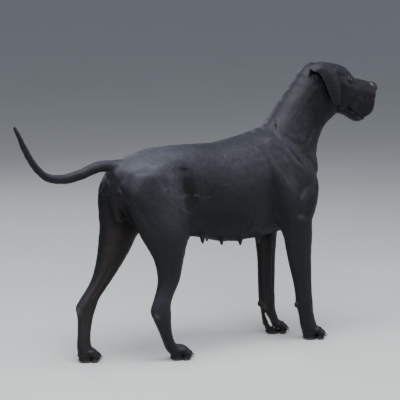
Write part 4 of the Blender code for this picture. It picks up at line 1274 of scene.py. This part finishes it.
def unwrap(points):
    best = np.full(len(points), 1e9)
    places = np.zeros((len(points), 2))
    for line, thickness, (left, low, wide, high) in part_lines():
        far, share = to_line(points, line)
        line = np.array([tuple(p) for p in line])
        spot = np.clip(share * (len(line) - 1), 0, len(line) - 1.000001)
        first = spot.astype(int)
        part = (spot - first)[:, None]
        centre = line[first] * (1 - part) + line[first + 1] * part
        along = line[first + 1] - line[first]
        along /= np.linalg.norm(along, axis=1)[:, None]
        side = np.tile(np.array([0.0, 1.0, 0.0]), (len(points), 1))
        side -= along * (side * along).sum(1)[:, None]
        side /= np.linalg.norm(side, axis=1)[:, None]
        rel = points - centre
        angle = np.arctan2((rel * side).sum(1), (rel * np.cross(along, side)).sum(1)) / (2 * math.pi) + 0.5
        nearer = far / thickness < best
        best[nearer] = (far / thickness)[nearer]
        places[nearer, 0] = left + wide * share[nearer]
        places[nearer, 1] = low + high * angle[nearer]
    return places


# The coat's tufts

PATCH = 0.003  # how wide a tuft is on the map
# where a tuft's points lie in its patch
TUFT_SPOTS = np.array(
    [(-0.5, -0.5), (0.5, -0.5), (0.0, -0.3), (-0.4, 0.1), (0.4, 0.1), (0.0, 0.1), (0.0, 0.5)]
)
TUFTS = 104000
PIECE_TUFTS = 19500  # the most tufts in one piece of coat
TUFT_LENGTH = 0.0072
TUFT_WIDTH = 0.00070


def blades(name, roots, normals, lies, lengths, widths, lifts):
    """A piece of coat: thin closed blades that lie along the skin and rise a little towards their tips."""
    across = np.cross(normals, lies)
    rings = []
    for share, wide in ((0.0, 0.8), (0.5, 1.0)):
        rise = lifts * lengths * (share - 0.25 * share * share) - 0.0005 * (share == 0)
        middle = roots + lies * (lengths * share)[:, None] + normals * rise[:, None]
        half = across * (widths * wide / 2)[:, None]
        ridge = normals * (widths * wide * 0.35)[:, None]
        rings += [middle + half, middle - half, middle + ridge]
    tip = roots + lies * lengths[:, None] + normals * (lifts * lengths * 0.75)[:, None]
    points = np.stack([*rings, tip], 1)
    faces = np.array([
        (0, 4, 1), (0, 3, 4), (1, 5, 2), (1, 4, 5), (2, 3, 0), (2, 5, 3),
        (3, 6, 4), (4, 6, 5), (5, 6, 3), (0, 1, 2),
    ])
    all_faces = faces[None] + points.shape[1] * np.arange(len(roots))[:, None, None]
    piece = mesh_of(name, points.reshape(-1, 3), all_faces.reshape(-1, 3))
    places = unwrap(roots)[:, None] + TUFT_SPOTS[None] * PATCH
    corners = places[:, faces.ravel()].reshape(-1, 2)
    layer = piece.data.uv_layers.new(name="OFBake")
    layer.data.foreach_set("uv", corners.astype(np.float32).ravel())
    paint(piece, np.repeat(roots, 7, 0), np.repeat(normals, 7, 0))
    tilt = np.array([0.30, -0.30, 0.0, 0.30, -0.30, 0.0, 0.0])
    soft = normals[:, None] + across[:, None] * tilt[None, :, None]
    piece.data.shade_smooth()
    piece.data.normals_split_custom_set_from_vertices(soft.reshape(-1, 3).tolist())
    return piece


def mesh_of(name, points, faces):
    mesh = bpy.data.meshes.new(name)
    mesh.vertices.add(len(points))
    mesh.vertices.foreach_set("co", points.astype(np.float32).ravel())
    mesh.loops.add(3 * len(faces))
    mesh.loops.foreach_set("vertex_index", faces.astype(np.int32).ravel())
    mesh.polygons.add(len(faces))
    mesh.polygons.foreach_set("loop_start", np.arange(0, 3 * len(faces), 3, dtype=np.int32))
    mesh.update(calc_edges=True)
    piece = bpy.data.objects.new(name, mesh)
    bpy.context.scene.collection.objects.link(piece)
    return piece


def spread(piece, count, density, dice):
    """Points spread over the skin, thicker where density is higher, with the skin's normals there."""
    mesh = piece.data
    mesh.calc_loop_triangles()
    corners = np.empty(3 * len(mesh.loop_triangles), np.int32)
    mesh.loop_triangles.foreach_get("vertices", corners)
    corners = corners.reshape(-1, 3)
    points, normals = points_of(piece), normals_of(piece)
    a, b, c = (points[corners[:, k]] for k in range(3))
    areas = np.linalg.norm(np.cross(b - a, c - a), axis=1) / 2
    weight = areas * density(points, normals)[corners].mean(1)
    chosen = dice.choice(len(corners), count, p=weight / weight.sum())
    u, v = dice.random(count), dice.random(count)
    over = u + v > 1
    u[over], v[over] = 1 - u[over], 1 - v[over]
    w = np.stack([1 - u - v, u, v], 1)
    roots = (points[corners[chosen]] * w[:, :, None]).sum(1)
    ups = (normals[corners[chosen]] * w[:, :, None]).sum(1)
    return roots, ups / np.linalg.norm(ups, axis=1)[:, None]


def breaking(points, normals):
    """How much the coat breaks her outline: behind thighs and elbows, on belly, breast and throat."""
    x, y, z = points.T
    nx, ny, nz = normals.T
    tail = (x < -0.40) * (z > 0.64)
    under_tail = 0.25 * tail * step_between(-nz, -0.1, 0.5)
    rear = (x < -0.20) * (z > 0.24) * (z < 0.64) * step_between(-nx, 0.45, 0.85)
    belly = (z < 0.46) * (z > 0.36) * step_between(-nz, 0.6, 0.9)
    breast = (x > 0.40) * (z < 0.72) * (z > 0.44) * step_between(nx, 0.5, 0.9)
    throat = (x > 0.42) * (z > 0.60) * (z < 0.86) * step_between(-nz, 0.1, 0.7)
    elbow = (x > 0.20) * (x < 0.36) * (z > 0.20) * (z < 0.46) * step_between(-nx, 0.5, 0.9)
    crest = (z > 0.74) * (x < 0.25) * step_between(nz, 0.75, 0.95) * 0.4
    total = under_tail + rear + belly + breast + throat + elbow + crest
    return np.clip(total, 0, 1)


def coat_density(points, normals):
    x, y, z = points.T
    density = 1.0 + 2.6 * breaking(points, normals)
    face = (x > 0.46) & (z > 0.80)
    density[face] += 1.6
    density[z < 0.10] += 1.5
    drawn = as_drawn(points)
    from_nose = (drawn - np.array([0.785, 0, 0.922])) / np.array([0.026, 0.030, 0.026])
    density *= step_between(np.linalg.norm(from_nose, axis=1), 1.0, 1.3)
    for side in (1, -1):
        far = np.linalg.norm(points - np.array(eye_centre(side)), axis=1)
        density *= step_between(far, EYE_RADIUS + 0.0035, EYE_RADIUS + 0.0075)
    density *= step_between(z, 0.006, 0.012)
    far, _ = to_line(drawn * np.array([1, 0, 1]), [(x, 0, z) for x, z in LIP_LINE])
    density *= np.where(drawn[:, 0] > 0.62, step_between(far, 0.003, 0.007), 1)
    for side in (1, -1):
        for top in teat_tops(side):
            far = np.hypot(x - top.x, y - top.y)
            density *= np.where(z < top.z - 0.003, step_between(far, 0.010, 0.014), 1)
    density *= 1 - (drawn[:, 0] > 0.70) * (drawn[:, 2] < 0.835) * step_between(-normals[:, 2], 0.3, 0.7)
    return density * (1 - np.clip(wetness(points), 0, 1))


ZONES = (
    ("coat_tail", lambda x, y, z: (x < -0.385) & (z > 0.62)),
    ("coat_head", lambda x, y, z: (x > 0.43) & (z > 0.83)),
    ("coat_feet", lambda x, y, z: z < 0.20),
    ("coat_legs", lambda x, y, z: z < 0.44),
    ("coat_neck", lambda x, y, z: (x > 0.25) & (z > 0.62)),
    ("coat_rump_right", lambda x, y, z: (x < -0.06) & (y < 0)),
    ("coat_rump_left", lambda x, y, z: x < -0.06),
    ("coat_trunk_right", lambda x, y, z: y < 0),
    ("coat_trunk_left", lambda x, y, z: y >= 0),
)


def coat(skin, count):
    dice = np.random.default_rng(11)
    roots, normals = spread(skin, count, coat_density, dice)
    x, y, z = roots.T
    breaks = breaking(roots, normals)
    ahead = ahead_of_neck(roots)
    face = np.maximum(step_between(ahead, 0.0, 0.06) * step_between(z, 0.74, 0.84), ear_share(roots))
    feet = 1 - step_between(z, 0.05, 0.22)
    lengths = TUFT_LENGTH + 0.0022 * breaks
    lengths = lengths * (1 - 0.55 * face) * (1 - 0.55 * feet) * dice.uniform(0.75, 1.2, count)
    lengths *= 1 - 0.55 * step_between(-x, 0.715, 0.745)
    widths = TUFT_WIDTH * (1 - 0.35 * face) * dice.uniform(0.8, 1.25, count)
    lifts = (0.035 + 0.035 * breaks * dice.random(count) + 0.02 * dice.random(count)) * (1 - 0.5 * feet)
    lifts *= 1 - 0.7 * near_line(np.stack([x, -np.abs(y), z], 1), SEAT_CREASE, 0.020)
    lifts *= 1 - 0.6 * (x < -0.39) * (z > 0.62)
    lies = lie_of(roots, normals)
    pieces = []
    left = np.ones(count, bool)
    for name, holds in ZONES:
        mine = np.flatnonzero(left & holds(x, y, z))
        left[mine] = False
        few = mine[:PIECE_TUFTS]
        parts = (part[few] for part in (roots, normals, lies, lengths, widths, lifts))
        pieces.append(blades(name, *parts))
    return pieces


# Eyes, nose, whiskers and claws


def eye(side):
    """The eyeball with its clear bulge; its own +Z looks out of it."""
    bm = bmesh.new()
    bmesh.ops.create_uvsphere(bm, u_segments=64, v_segments=48, radius=EYE_RADIUS - 0.0002)
    for v in bm.verts:
        angle = math.atan2(math.hypot(v.co.x, v.co.y), v.co.z)
        if angle < 0.62:
            v.co += v.co.normalized() * 0.0005 * (math.cos(angle * math.pi / 0.62) + 1) / 2
    piece = object_from(bm, "eye_" + ("left" if side > 0 else "right") + "_look")
    turn = eye_forward(side).to_track_quat("Z", "Y").to_matrix().to_4x4()
    piece.matrix_world = Matrix.Translation(eye_centre(side) - Vector((MID_X, 0, 0))) @ turn
    piece.data.shade_smooth()
    return piece


def nose_leather():
    """The nose leather, with its two nostrils and the groove between them."""
    bm = bmesh.new()
    loft(
        bm,
        [
            Section((0.754, 0.946), (0.758, 0.900), 0.020),
            Section((0.772, 0.948), (0.775, 0.901), 0.0255, power=2.4),
            Section((0.790, 0.943), (0.789, 0.905), 0.0245, power=2.4),
        ],
        caps=(0.010, 0.009),
        sides=40,
        steps=6,
    )
    for side in (1, -1):
        muscle(bm, (0.766, 0.019, 0.921), (0.798, 0.015, 0.921), 0.0085, 0.0120, side)
    leather = fuse_fine(bm, "nose_look", 0.0008, 16, lambda points: np.ones(len(points)), -0.0002)
    points, normals = points_of(leather), normals_of(leather)
    front = step_between(points[:, 0], 0.776, 0.790)
    nostril = np.zeros(len(points))
    for side in (1, -1):
        line = ((0.796, 0.0118 * side, 0.9235), (0.797, 0.0135 * side, 0.9215))
        slit = ((0.797, 0.0135 * side, 0.9190), (0.790, 0.0215 * side, 0.9155),
                (0.778, 0.0290 * side, 0.9150))
        nostril = np.maximum(nostril, np.exp(-((to_line(points, line)[0] / 0.0044) ** 4)))
        nostril = np.maximum(nostril, 0.45 * np.exp(-((to_line(points, slit)[0] / 0.0018) ** 2)))
    groove = np.exp(-((points[:, 1] / 0.0011) ** 2)) * (points[:, 2] < 0.926) * 0.0016
    depth = nostril * 0.0110 * np.maximum(front, nostril * 0.6) + groove * front
    inward = -normals.copy()
    inward[:, 0] = -1.0
    inward /= np.linalg.norm(inward, axis=1)[:, None]
    set_points(leather, points + inward * depth[:, None])
    leather.data.transform(head_place())
    leather.data.transform(Matrix.Translation((-MID_X, 0, 0)))
    leather.data.shade_smooth()
    return leather


def whiskers():
    """Stiff hairs on muzzle, brows and chin: where each roots, its sweep and its length."""
    place = head_place()
    for bed in whisker_beds():
        yield bed, Vector((-0.45, 0.0, -0.35)), 0.030
    for side in (1, -1):
        for k in range(3):
            brow = Vector((0.640 + 0.006 * k, 0.040 * side, 0.984))
            chin = Vector((0.690 + 0.012 * k, 0.016 * side, 0.803))
            yield place @ brow, Vector((-0.3, 0, 0.5)), 0.016
            yield place @ chin, Vector((-0.3, 0, -0.3)), 0.012


def whisker_mesh(skin):
    """Every whisker is a bent cone of four sides, rooted on the skin."""
    dice = np.random.default_rng(5)
    turn = head_turn()
    points = points_of(skin)
    normals = normals_of(skin)
    corners, faces, roots = [], [], []
    for start, sweep, length in whiskers():
        nearest = np.linalg.norm(points - np.array(start), axis=1).argmin()
        root, normal = Vector(points[nearest]), Vector(normals[nearest])
        aim = (normal * 0.55 + turn @ sweep).normalized()
        length = length * float(dice.uniform(0.8, 1.15))
        base = len(corners)
        side = aim.orthogonal().normalized()
        other = aim.cross(side)
        for ring_number in range(5):
            t = ring_number / 5
            middle = root - normal * 0.0006 + aim * length * t + Vector((0, 0, -1)) * length * 0.18 * t * t
            radius = 0.00026 * (1 - 0.8 * t)
            for k in range(4):
                angle = math.pi / 2 * k
                out = side * math.cos(angle) + other * math.sin(angle)
                corners.append(tuple(middle + out * radius))
        corners.append(tuple(root + aim * length + Vector((0, 0, -1)) * length * 0.18))
        roots += [tuple(root)] * 21
        for ring_number in range(4):
            for k in range(4):
                a, b = base + 4 * ring_number + k, base + 4 * ring_number + (k + 1) % 4
                faces += [(a, b, b + 4), (a, b + 4, a + 4)]
        faces += [(base + 16 + k, base + 16 + (k + 1) % 4, base + 20) for k in range(4)]
        faces += [(base, base + 2, base + 1), (base, base + 3, base + 2)]
    faces = np.array(faces)
    piece = mesh_of("whiskers", np.array(corners), faces)
    roots = np.array(roots)
    places = unwrap(roots) + (np.arange(len(roots)) % 4)[:, None] * np.array([0.0005, 0.0003])
    layer = piece.data.uv_layers.new(name="OFBake")
    layer.data.foreach_set("uv", places[faces.ravel()].astype(np.float32).ravel())
    return piece


# Materials


class Look:
    """A node material in the making."""

    def __init__(self, name):
        self.material = bpy.data.materials.new(name)
        self.material.use_nodes = True
        self.nodes = self.material.node_tree.nodes
        self.links = self.material.node_tree.links
        self.shader = self.nodes["Principled BSDF"]

    def add(self, kind, inputs=None, **settings):
        node = self.nodes.new(kind)
        for key, value in settings.items():
            setattr(node, key, value)
        for key, value in (inputs or {}).items():
            self.feed(node.inputs[key], value)
        return node

    def feed(self, socket, value):
        if isinstance(value, bpy.types.NodeSocket):
            self.links.new(value, socket)
        else:
            socket.default_value = value

    def set(self, **inputs):
        for key, value in inputs.items():
            self.feed(self.shader.inputs[key.replace("_", " ")], value)

    def noise(self, vector, scale, detail=3.0, roughness=0.55):
        inputs = {"Vector": vector, "Scale": scale, "Detail": detail, "Roughness": roughness}
        return self.add("ShaderNodeTexNoise", inputs).outputs["Fac"]

    def stretched(self, vector, scale):
        return self.add("ShaderNodeMapping", {"Vector": vector, "Scale": scale}).outputs["Vector"]

    def span(self, value, low, high, to_low=0.0, to_high=1.0):
        inputs = {"Value": value, "From Min": low, "From Max": high, "To Min": to_low, "To Max": to_high}
        return self.add("ShaderNodeMapRange", inputs).outputs["Result"]

    def mix(self, share, a, b):
        return self.add("ShaderNodeMix", {0: share, 6: a, 7: b}, data_type="RGBA").outputs[2]

    def blend(self, share, a, b):
        return self.add("ShaderNodeMix", {0: share, 2: a, 3: b}, data_type="FLOAT").outputs[0]

    def times(self, a, b, operation="MULTIPLY"):
        return self.add("ShaderNodeMath", {0: a, 1: b}, operation=operation).outputs[0]

    def bump(self, height, strength):
        node = self.add("ShaderNodeBump", {"Height": height, "Strength": strength, "Distance": 1.0})
        self.set(Normal=node.outputs["Normal"])


BLACK_HAIR = (0.0050, 0.0050, 0.0060, 1)
# the bluish painted sheen of the black coat where the light falls
PAINTED_SHEEN_HAIR = (0.0440, 0.0450, 0.0570, 1)
BROWN_HAIR = (0.0220, 0.0160, 0.0130, 1)
# also the pale painted highlight along the ears' edges
BARE_SKIN_AND_RIM_HIGHLIGHT = (0.0900, 0.0800, 0.0830, 1)
WHITE_HAIR = (0.6200, 0.6000, 0.5700, 1)


def coat_colour(look, here):
    """Black where painted shade falls and lifted towards a bluish painted sheen where painted light falls, in
    random patches, and the markings that the skin and the tufts share.
    """
    marks = look.add("ShaderNodeAttribute", attribute_name="marks")
    parts = look.add("ShaderNodeSeparateColor", {"Color": marks.outputs["Color"]})
    painted_light = look.add("ShaderNodeAttribute", attribute_name="painted_light").outputs["Fac"]
    patches = look.span(look.noise(here, 9.0, 4.0), 0.35, 0.70, 0.86, 1.10)
    # painted light: black in painted shade, the bluish painted sheen where it is lit
    colour = look.mix(look.times(painted_light, patches), BLACK_HAIR, PAINTED_SHEEN_HAIR)
    colour = look.mix(parts.outputs["Green"], colour, BROWN_HAIR)
    colour = look.mix(parts.outputs["Blue"], colour, BARE_SKIN_AND_RIM_HIGHLIGHT)
    colour = look.mix(parts.outputs["Red"], colour, WHITE_HAIR)
    return colour, marks.outputs["Alpha"]


def hair_grain(look, here):
    """Fine streaks along the lie of the coat: lengthwise on the trunk, downwards on the legs and neck."""
    trunk = look.noise(look.stretched(here, (70.0, 420.0, 520.0)), 1.0, 2.0)
    limbs = look.noise(look.stretched(here, (520.0, 520.0, 75.0)), 1.0, 2.0)
    height = look.add("ShaderNodeSeparateXYZ", {"Vector": here}).outputs["Z"]
    leg = look.span(height, 0.50, 0.40)
    return look.blend(leg, trunk, limbs)


def coat_look(name, on_skin):
    look = Look(name)
    here = look.add("ShaderNodeTexCoord").outputs["Object"]
    colour, wet = coat_colour(look, here)
    grain = hair_grain(look, here)
    if on_skin:
        shade = look.span(grain, 0.30, 0.70, 0.72, 1.28)
        node = look.add("ShaderNodeVectorMath", {0: colour, 1: shade}, operation="MULTIPLY")
        colour = node.outputs[0]
    dull = look.span(look.noise(here, 14.0, 3.0), 0.35, 0.65, 0.40, 0.50)
    roughness = look.blend(wet, look.span(grain, 0.3, 0.7, -0.05, 0.06), -0.20)
    look.set(Base_Color=colour, Roughness=look.times(dull, roughness, "ADD"))
    look.set(Specular_IOR_Level=0.15, IOR=1.50)
    look.set(Sheen_Weight=0.035, Sheen_Roughness=0.40, Sheen_Tint=(0.62, 0.70, 1.0, 1))
    if on_skin:
        mottle = look.noise(here, 160.0, 3.0)
        height = look.times(look.times(grain, 0.0008), look.times(mottle, 0.0004), "ADD")
        look.bump(height, 0.75)
    return look.material


def nose_look():
    look = Look("nose_leather_look")
    here = look.add("ShaderNodeTexCoord").outputs["Object"]
    cells = look.add("ShaderNodeTexVoronoi", {"Vector": here, "Scale": 620.0}, feature="DISTANCE_TO_EDGE")
    pebbles = look.span(cells.outputs["Distance"], 0.0, 0.22)
    tone = look.noise(here, 60.0)
    look.set(Base_Color=look.mix(tone, (0.006, 0.006, 0.007, 1), (0.016, 0.015, 0.018, 1)))
    look.set(Roughness=look.span(tone, 0.35, 0.65, 0.34, 0.46), Specular_IOR_Level=0.4)
    look.set(Coat_Weight=0.18, Coat_Roughness=0.16)
    look.bump(look.times(pebbles, 0.00018), 0.7)
    return look.material


def eye_look():
    """Pupil, brown iris with its threads, dark ring and white, by the distance from the eye's own axis."""
    look = Look("eye_brown_look")
    here = look.add("ShaderNodeTexCoord").outputs["Object"]
    spot = look.add("ShaderNodeSeparateXYZ", {"Vector": here})
    flat = look.add("ShaderNodeCombineXYZ", {"X": spot.outputs["X"], "Y": spot.outputs["Y"]})
    reach = look.add("ShaderNodeVectorMath", {0: flat.outputs["Vector"]}, operation="LENGTH").outputs["Value"]
    threads = look.noise(look.stretched(here, (900.0, 900.0, 90.0)), 1.0, 3.0)
    iris = look.mix(threads, (0.006, 0.0032, 0.0020, 1), (0.022, 0.0105, 0.0055, 1))
    colour = look.mix(look.span(reach, 0.0036, 0.0041), (0.0008, 0.0008, 0.0010, 1), iris)
    colour = look.mix(look.span(reach, 0.0088, 0.0098), colour, (0.003, 0.0025, 0.0025, 1))
    colour = look.mix(look.span(reach, 0.0112, 0.0124), colour, (0.014, 0.010, 0.009, 1))
    look.set(Base_Color=colour, Roughness=0.16, Specular_IOR_Level=0.4, Coat_Weight=0.6, Coat_Roughness=0.03)
    return look.material


def claw_look():
    look = Look("claw_horn_look")
    here = look.add("ShaderNodeTexCoord").outputs["Object"]
    lines = look.noise(look.stretched(here, (120.0, 900.0, 900.0)), 1.0, 2.0)
    look.set(Base_Color=look.mix(lines, (0.008, 0.0075, 0.007, 1), (0.035, 0.030, 0.026, 1)))
    look.set(Roughness=look.span(lines, 0.3, 0.7, 0.28, 0.42), Specular_IOR_Level=0.5)
    look.bump(look.times(lines, 0.0003), 0.6)
    return look.material


def floor_look():
    look = Look("pale_floor")
    here = look.add("ShaderNodeTexCoord").outputs["Object"]
    colour = look.mix(look.noise(here, 1.5), (0.50, 0.50, 0.49, 1), (0.54, 0.54, 0.53, 1))
    look.set(Base_Color=colour, Roughness=0.85)
    return look.material


# Stage


def area_light(name, place, aim, size, power, colour):
    light = bpy.data.lights.new(name, "AREA")
    light.shape = "RECTANGLE"
    light.size, light.size_y = size
    light.energy = power
    light.color = colour
    lamp = bpy.data.objects.new(name, light)
    bpy.context.scene.collection.objects.link(lamp)
    lamp.location = place
    lamp.rotation_euler = (Vector(aim) - Vector(place)).to_track_quat("-Z", "Y").to_euler()


def stage():
    bm = bmesh.new()
    bmesh.ops.create_grid(bm, x_segments=4, y_segments=4, size=40)
    floor = object_from(bm, "floor")
    floor.data.materials.append(floor_look())
    world = bpy.data.worlds.new("studio")
    world.use_nodes = True
    sky = world.node_tree.nodes["Background"]
    sky.inputs["Color"].default_value = (0.80, 0.87, 1.0, 1)
    sky.inputs["Strength"].default_value = 0.30
    bpy.context.scene.world = world
    area_light("overhead", (-0.6, -0.9, 3.6), (0, 0, 0.6), (3.2, 2.4), 230, (0.93, 0.96, 1.0))
    area_light("side", (-2.2, -3.6, 2.6), (0, 0, 0.6), (2.4, 2.0), 120, (1.0, 0.98, 0.95))
    area_light("front", (3.6, -2.4, 2.2), (0.2, 0, 0.7), (1.8, 1.8), 45, (1.0, 0.99, 0.97))
    area_light("back", (0.4, 3.8, 2.8), (0, 0, 0.6), (2.6, 2.0), 45, (0.95, 0.97, 1.0))


def camera():
    """The photo's view: from behind her right side and a little above her back."""
    lens = bpy.data.cameras.new("photo_view")
    lens.sensor_width = 36.0
    lens.lens = 1719.167 / 400 * 36.0
    lens.clip_end = 200
    eye_point = bpy.data.objects.new("photo_view", lens)
    bpy.context.scene.collection.objects.link(eye_point)
    azimuth, pitch = math.radians(34.066), math.radians(8.615)
    aim = Vector((math.sin(azimuth) * math.cos(pitch), math.cos(azimuth) * math.cos(pitch), -math.sin(pitch)))
    eye_point.location = (-3.411 - MID_X, -5.044, 1.474)
    eye_point.rotation_euler = aim.to_track_quat("-Z", "Y").to_euler()
    bpy.context.scene.camera = eye_point


# Putting her together


def dress():
    skin = whole_skin()
    apply_strokes(skin, BODY_STROKES)
    apply_strokes(skin, leg_strokes())
    swell_teats(skin)
    apply_strokes(skin, HEAD_STROKES, head_place())
    shape_lips(skin)
    shape_lids(skin)
    seat_nose(skin)
    shape_whisker_beds(skin)
    add_wrinkles(skin)
    tuck_in(skin)
    stand_on_floor(skin)
    points, normals = points_of(skin), normals_of(skin)
    paint(skin, points, normals)
    pieces = coat(skin, TUFTS)
    hairs = whisker_mesh(skin)
    on_skin, on_hair = coat_look("black_coat_skin", True), coat_look("black_coat_hair", False)
    shift = Matrix.Translation((-MID_X, 0, 0))
    for piece in (skin, *pieces, hairs):
        piece.data.transform(shift)
        piece.data.materials.clear()
        piece.data.materials.append(on_skin if piece is skin else on_hair)
        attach(piece, "root")
    skin.data.shade_smooth()
    flesh = [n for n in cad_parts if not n.startswith(("eye", "claw", "nose"))]
    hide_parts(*flesh)


def dress_face_and_claws():
    leather = nose_leather()
    leather.data.materials.clear()
    leather.data.materials.append(nose_look())
    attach(leather, "root")
    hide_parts("nose")
    brown = eye_look()
    for side, word in ((1, "left"), (-1, "right")):
        globe = eye(side)
        globe.data.materials.append(brown)
        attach(globe, "root")
        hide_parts("eye_" + word)
    horn = claw_look()
    for name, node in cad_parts.items():
        if name.startswith("claw"):
            node.data.materials.clear()
            node.data.materials.append(horn)


dress()
dress_face_and_claws()
stage()
camera()
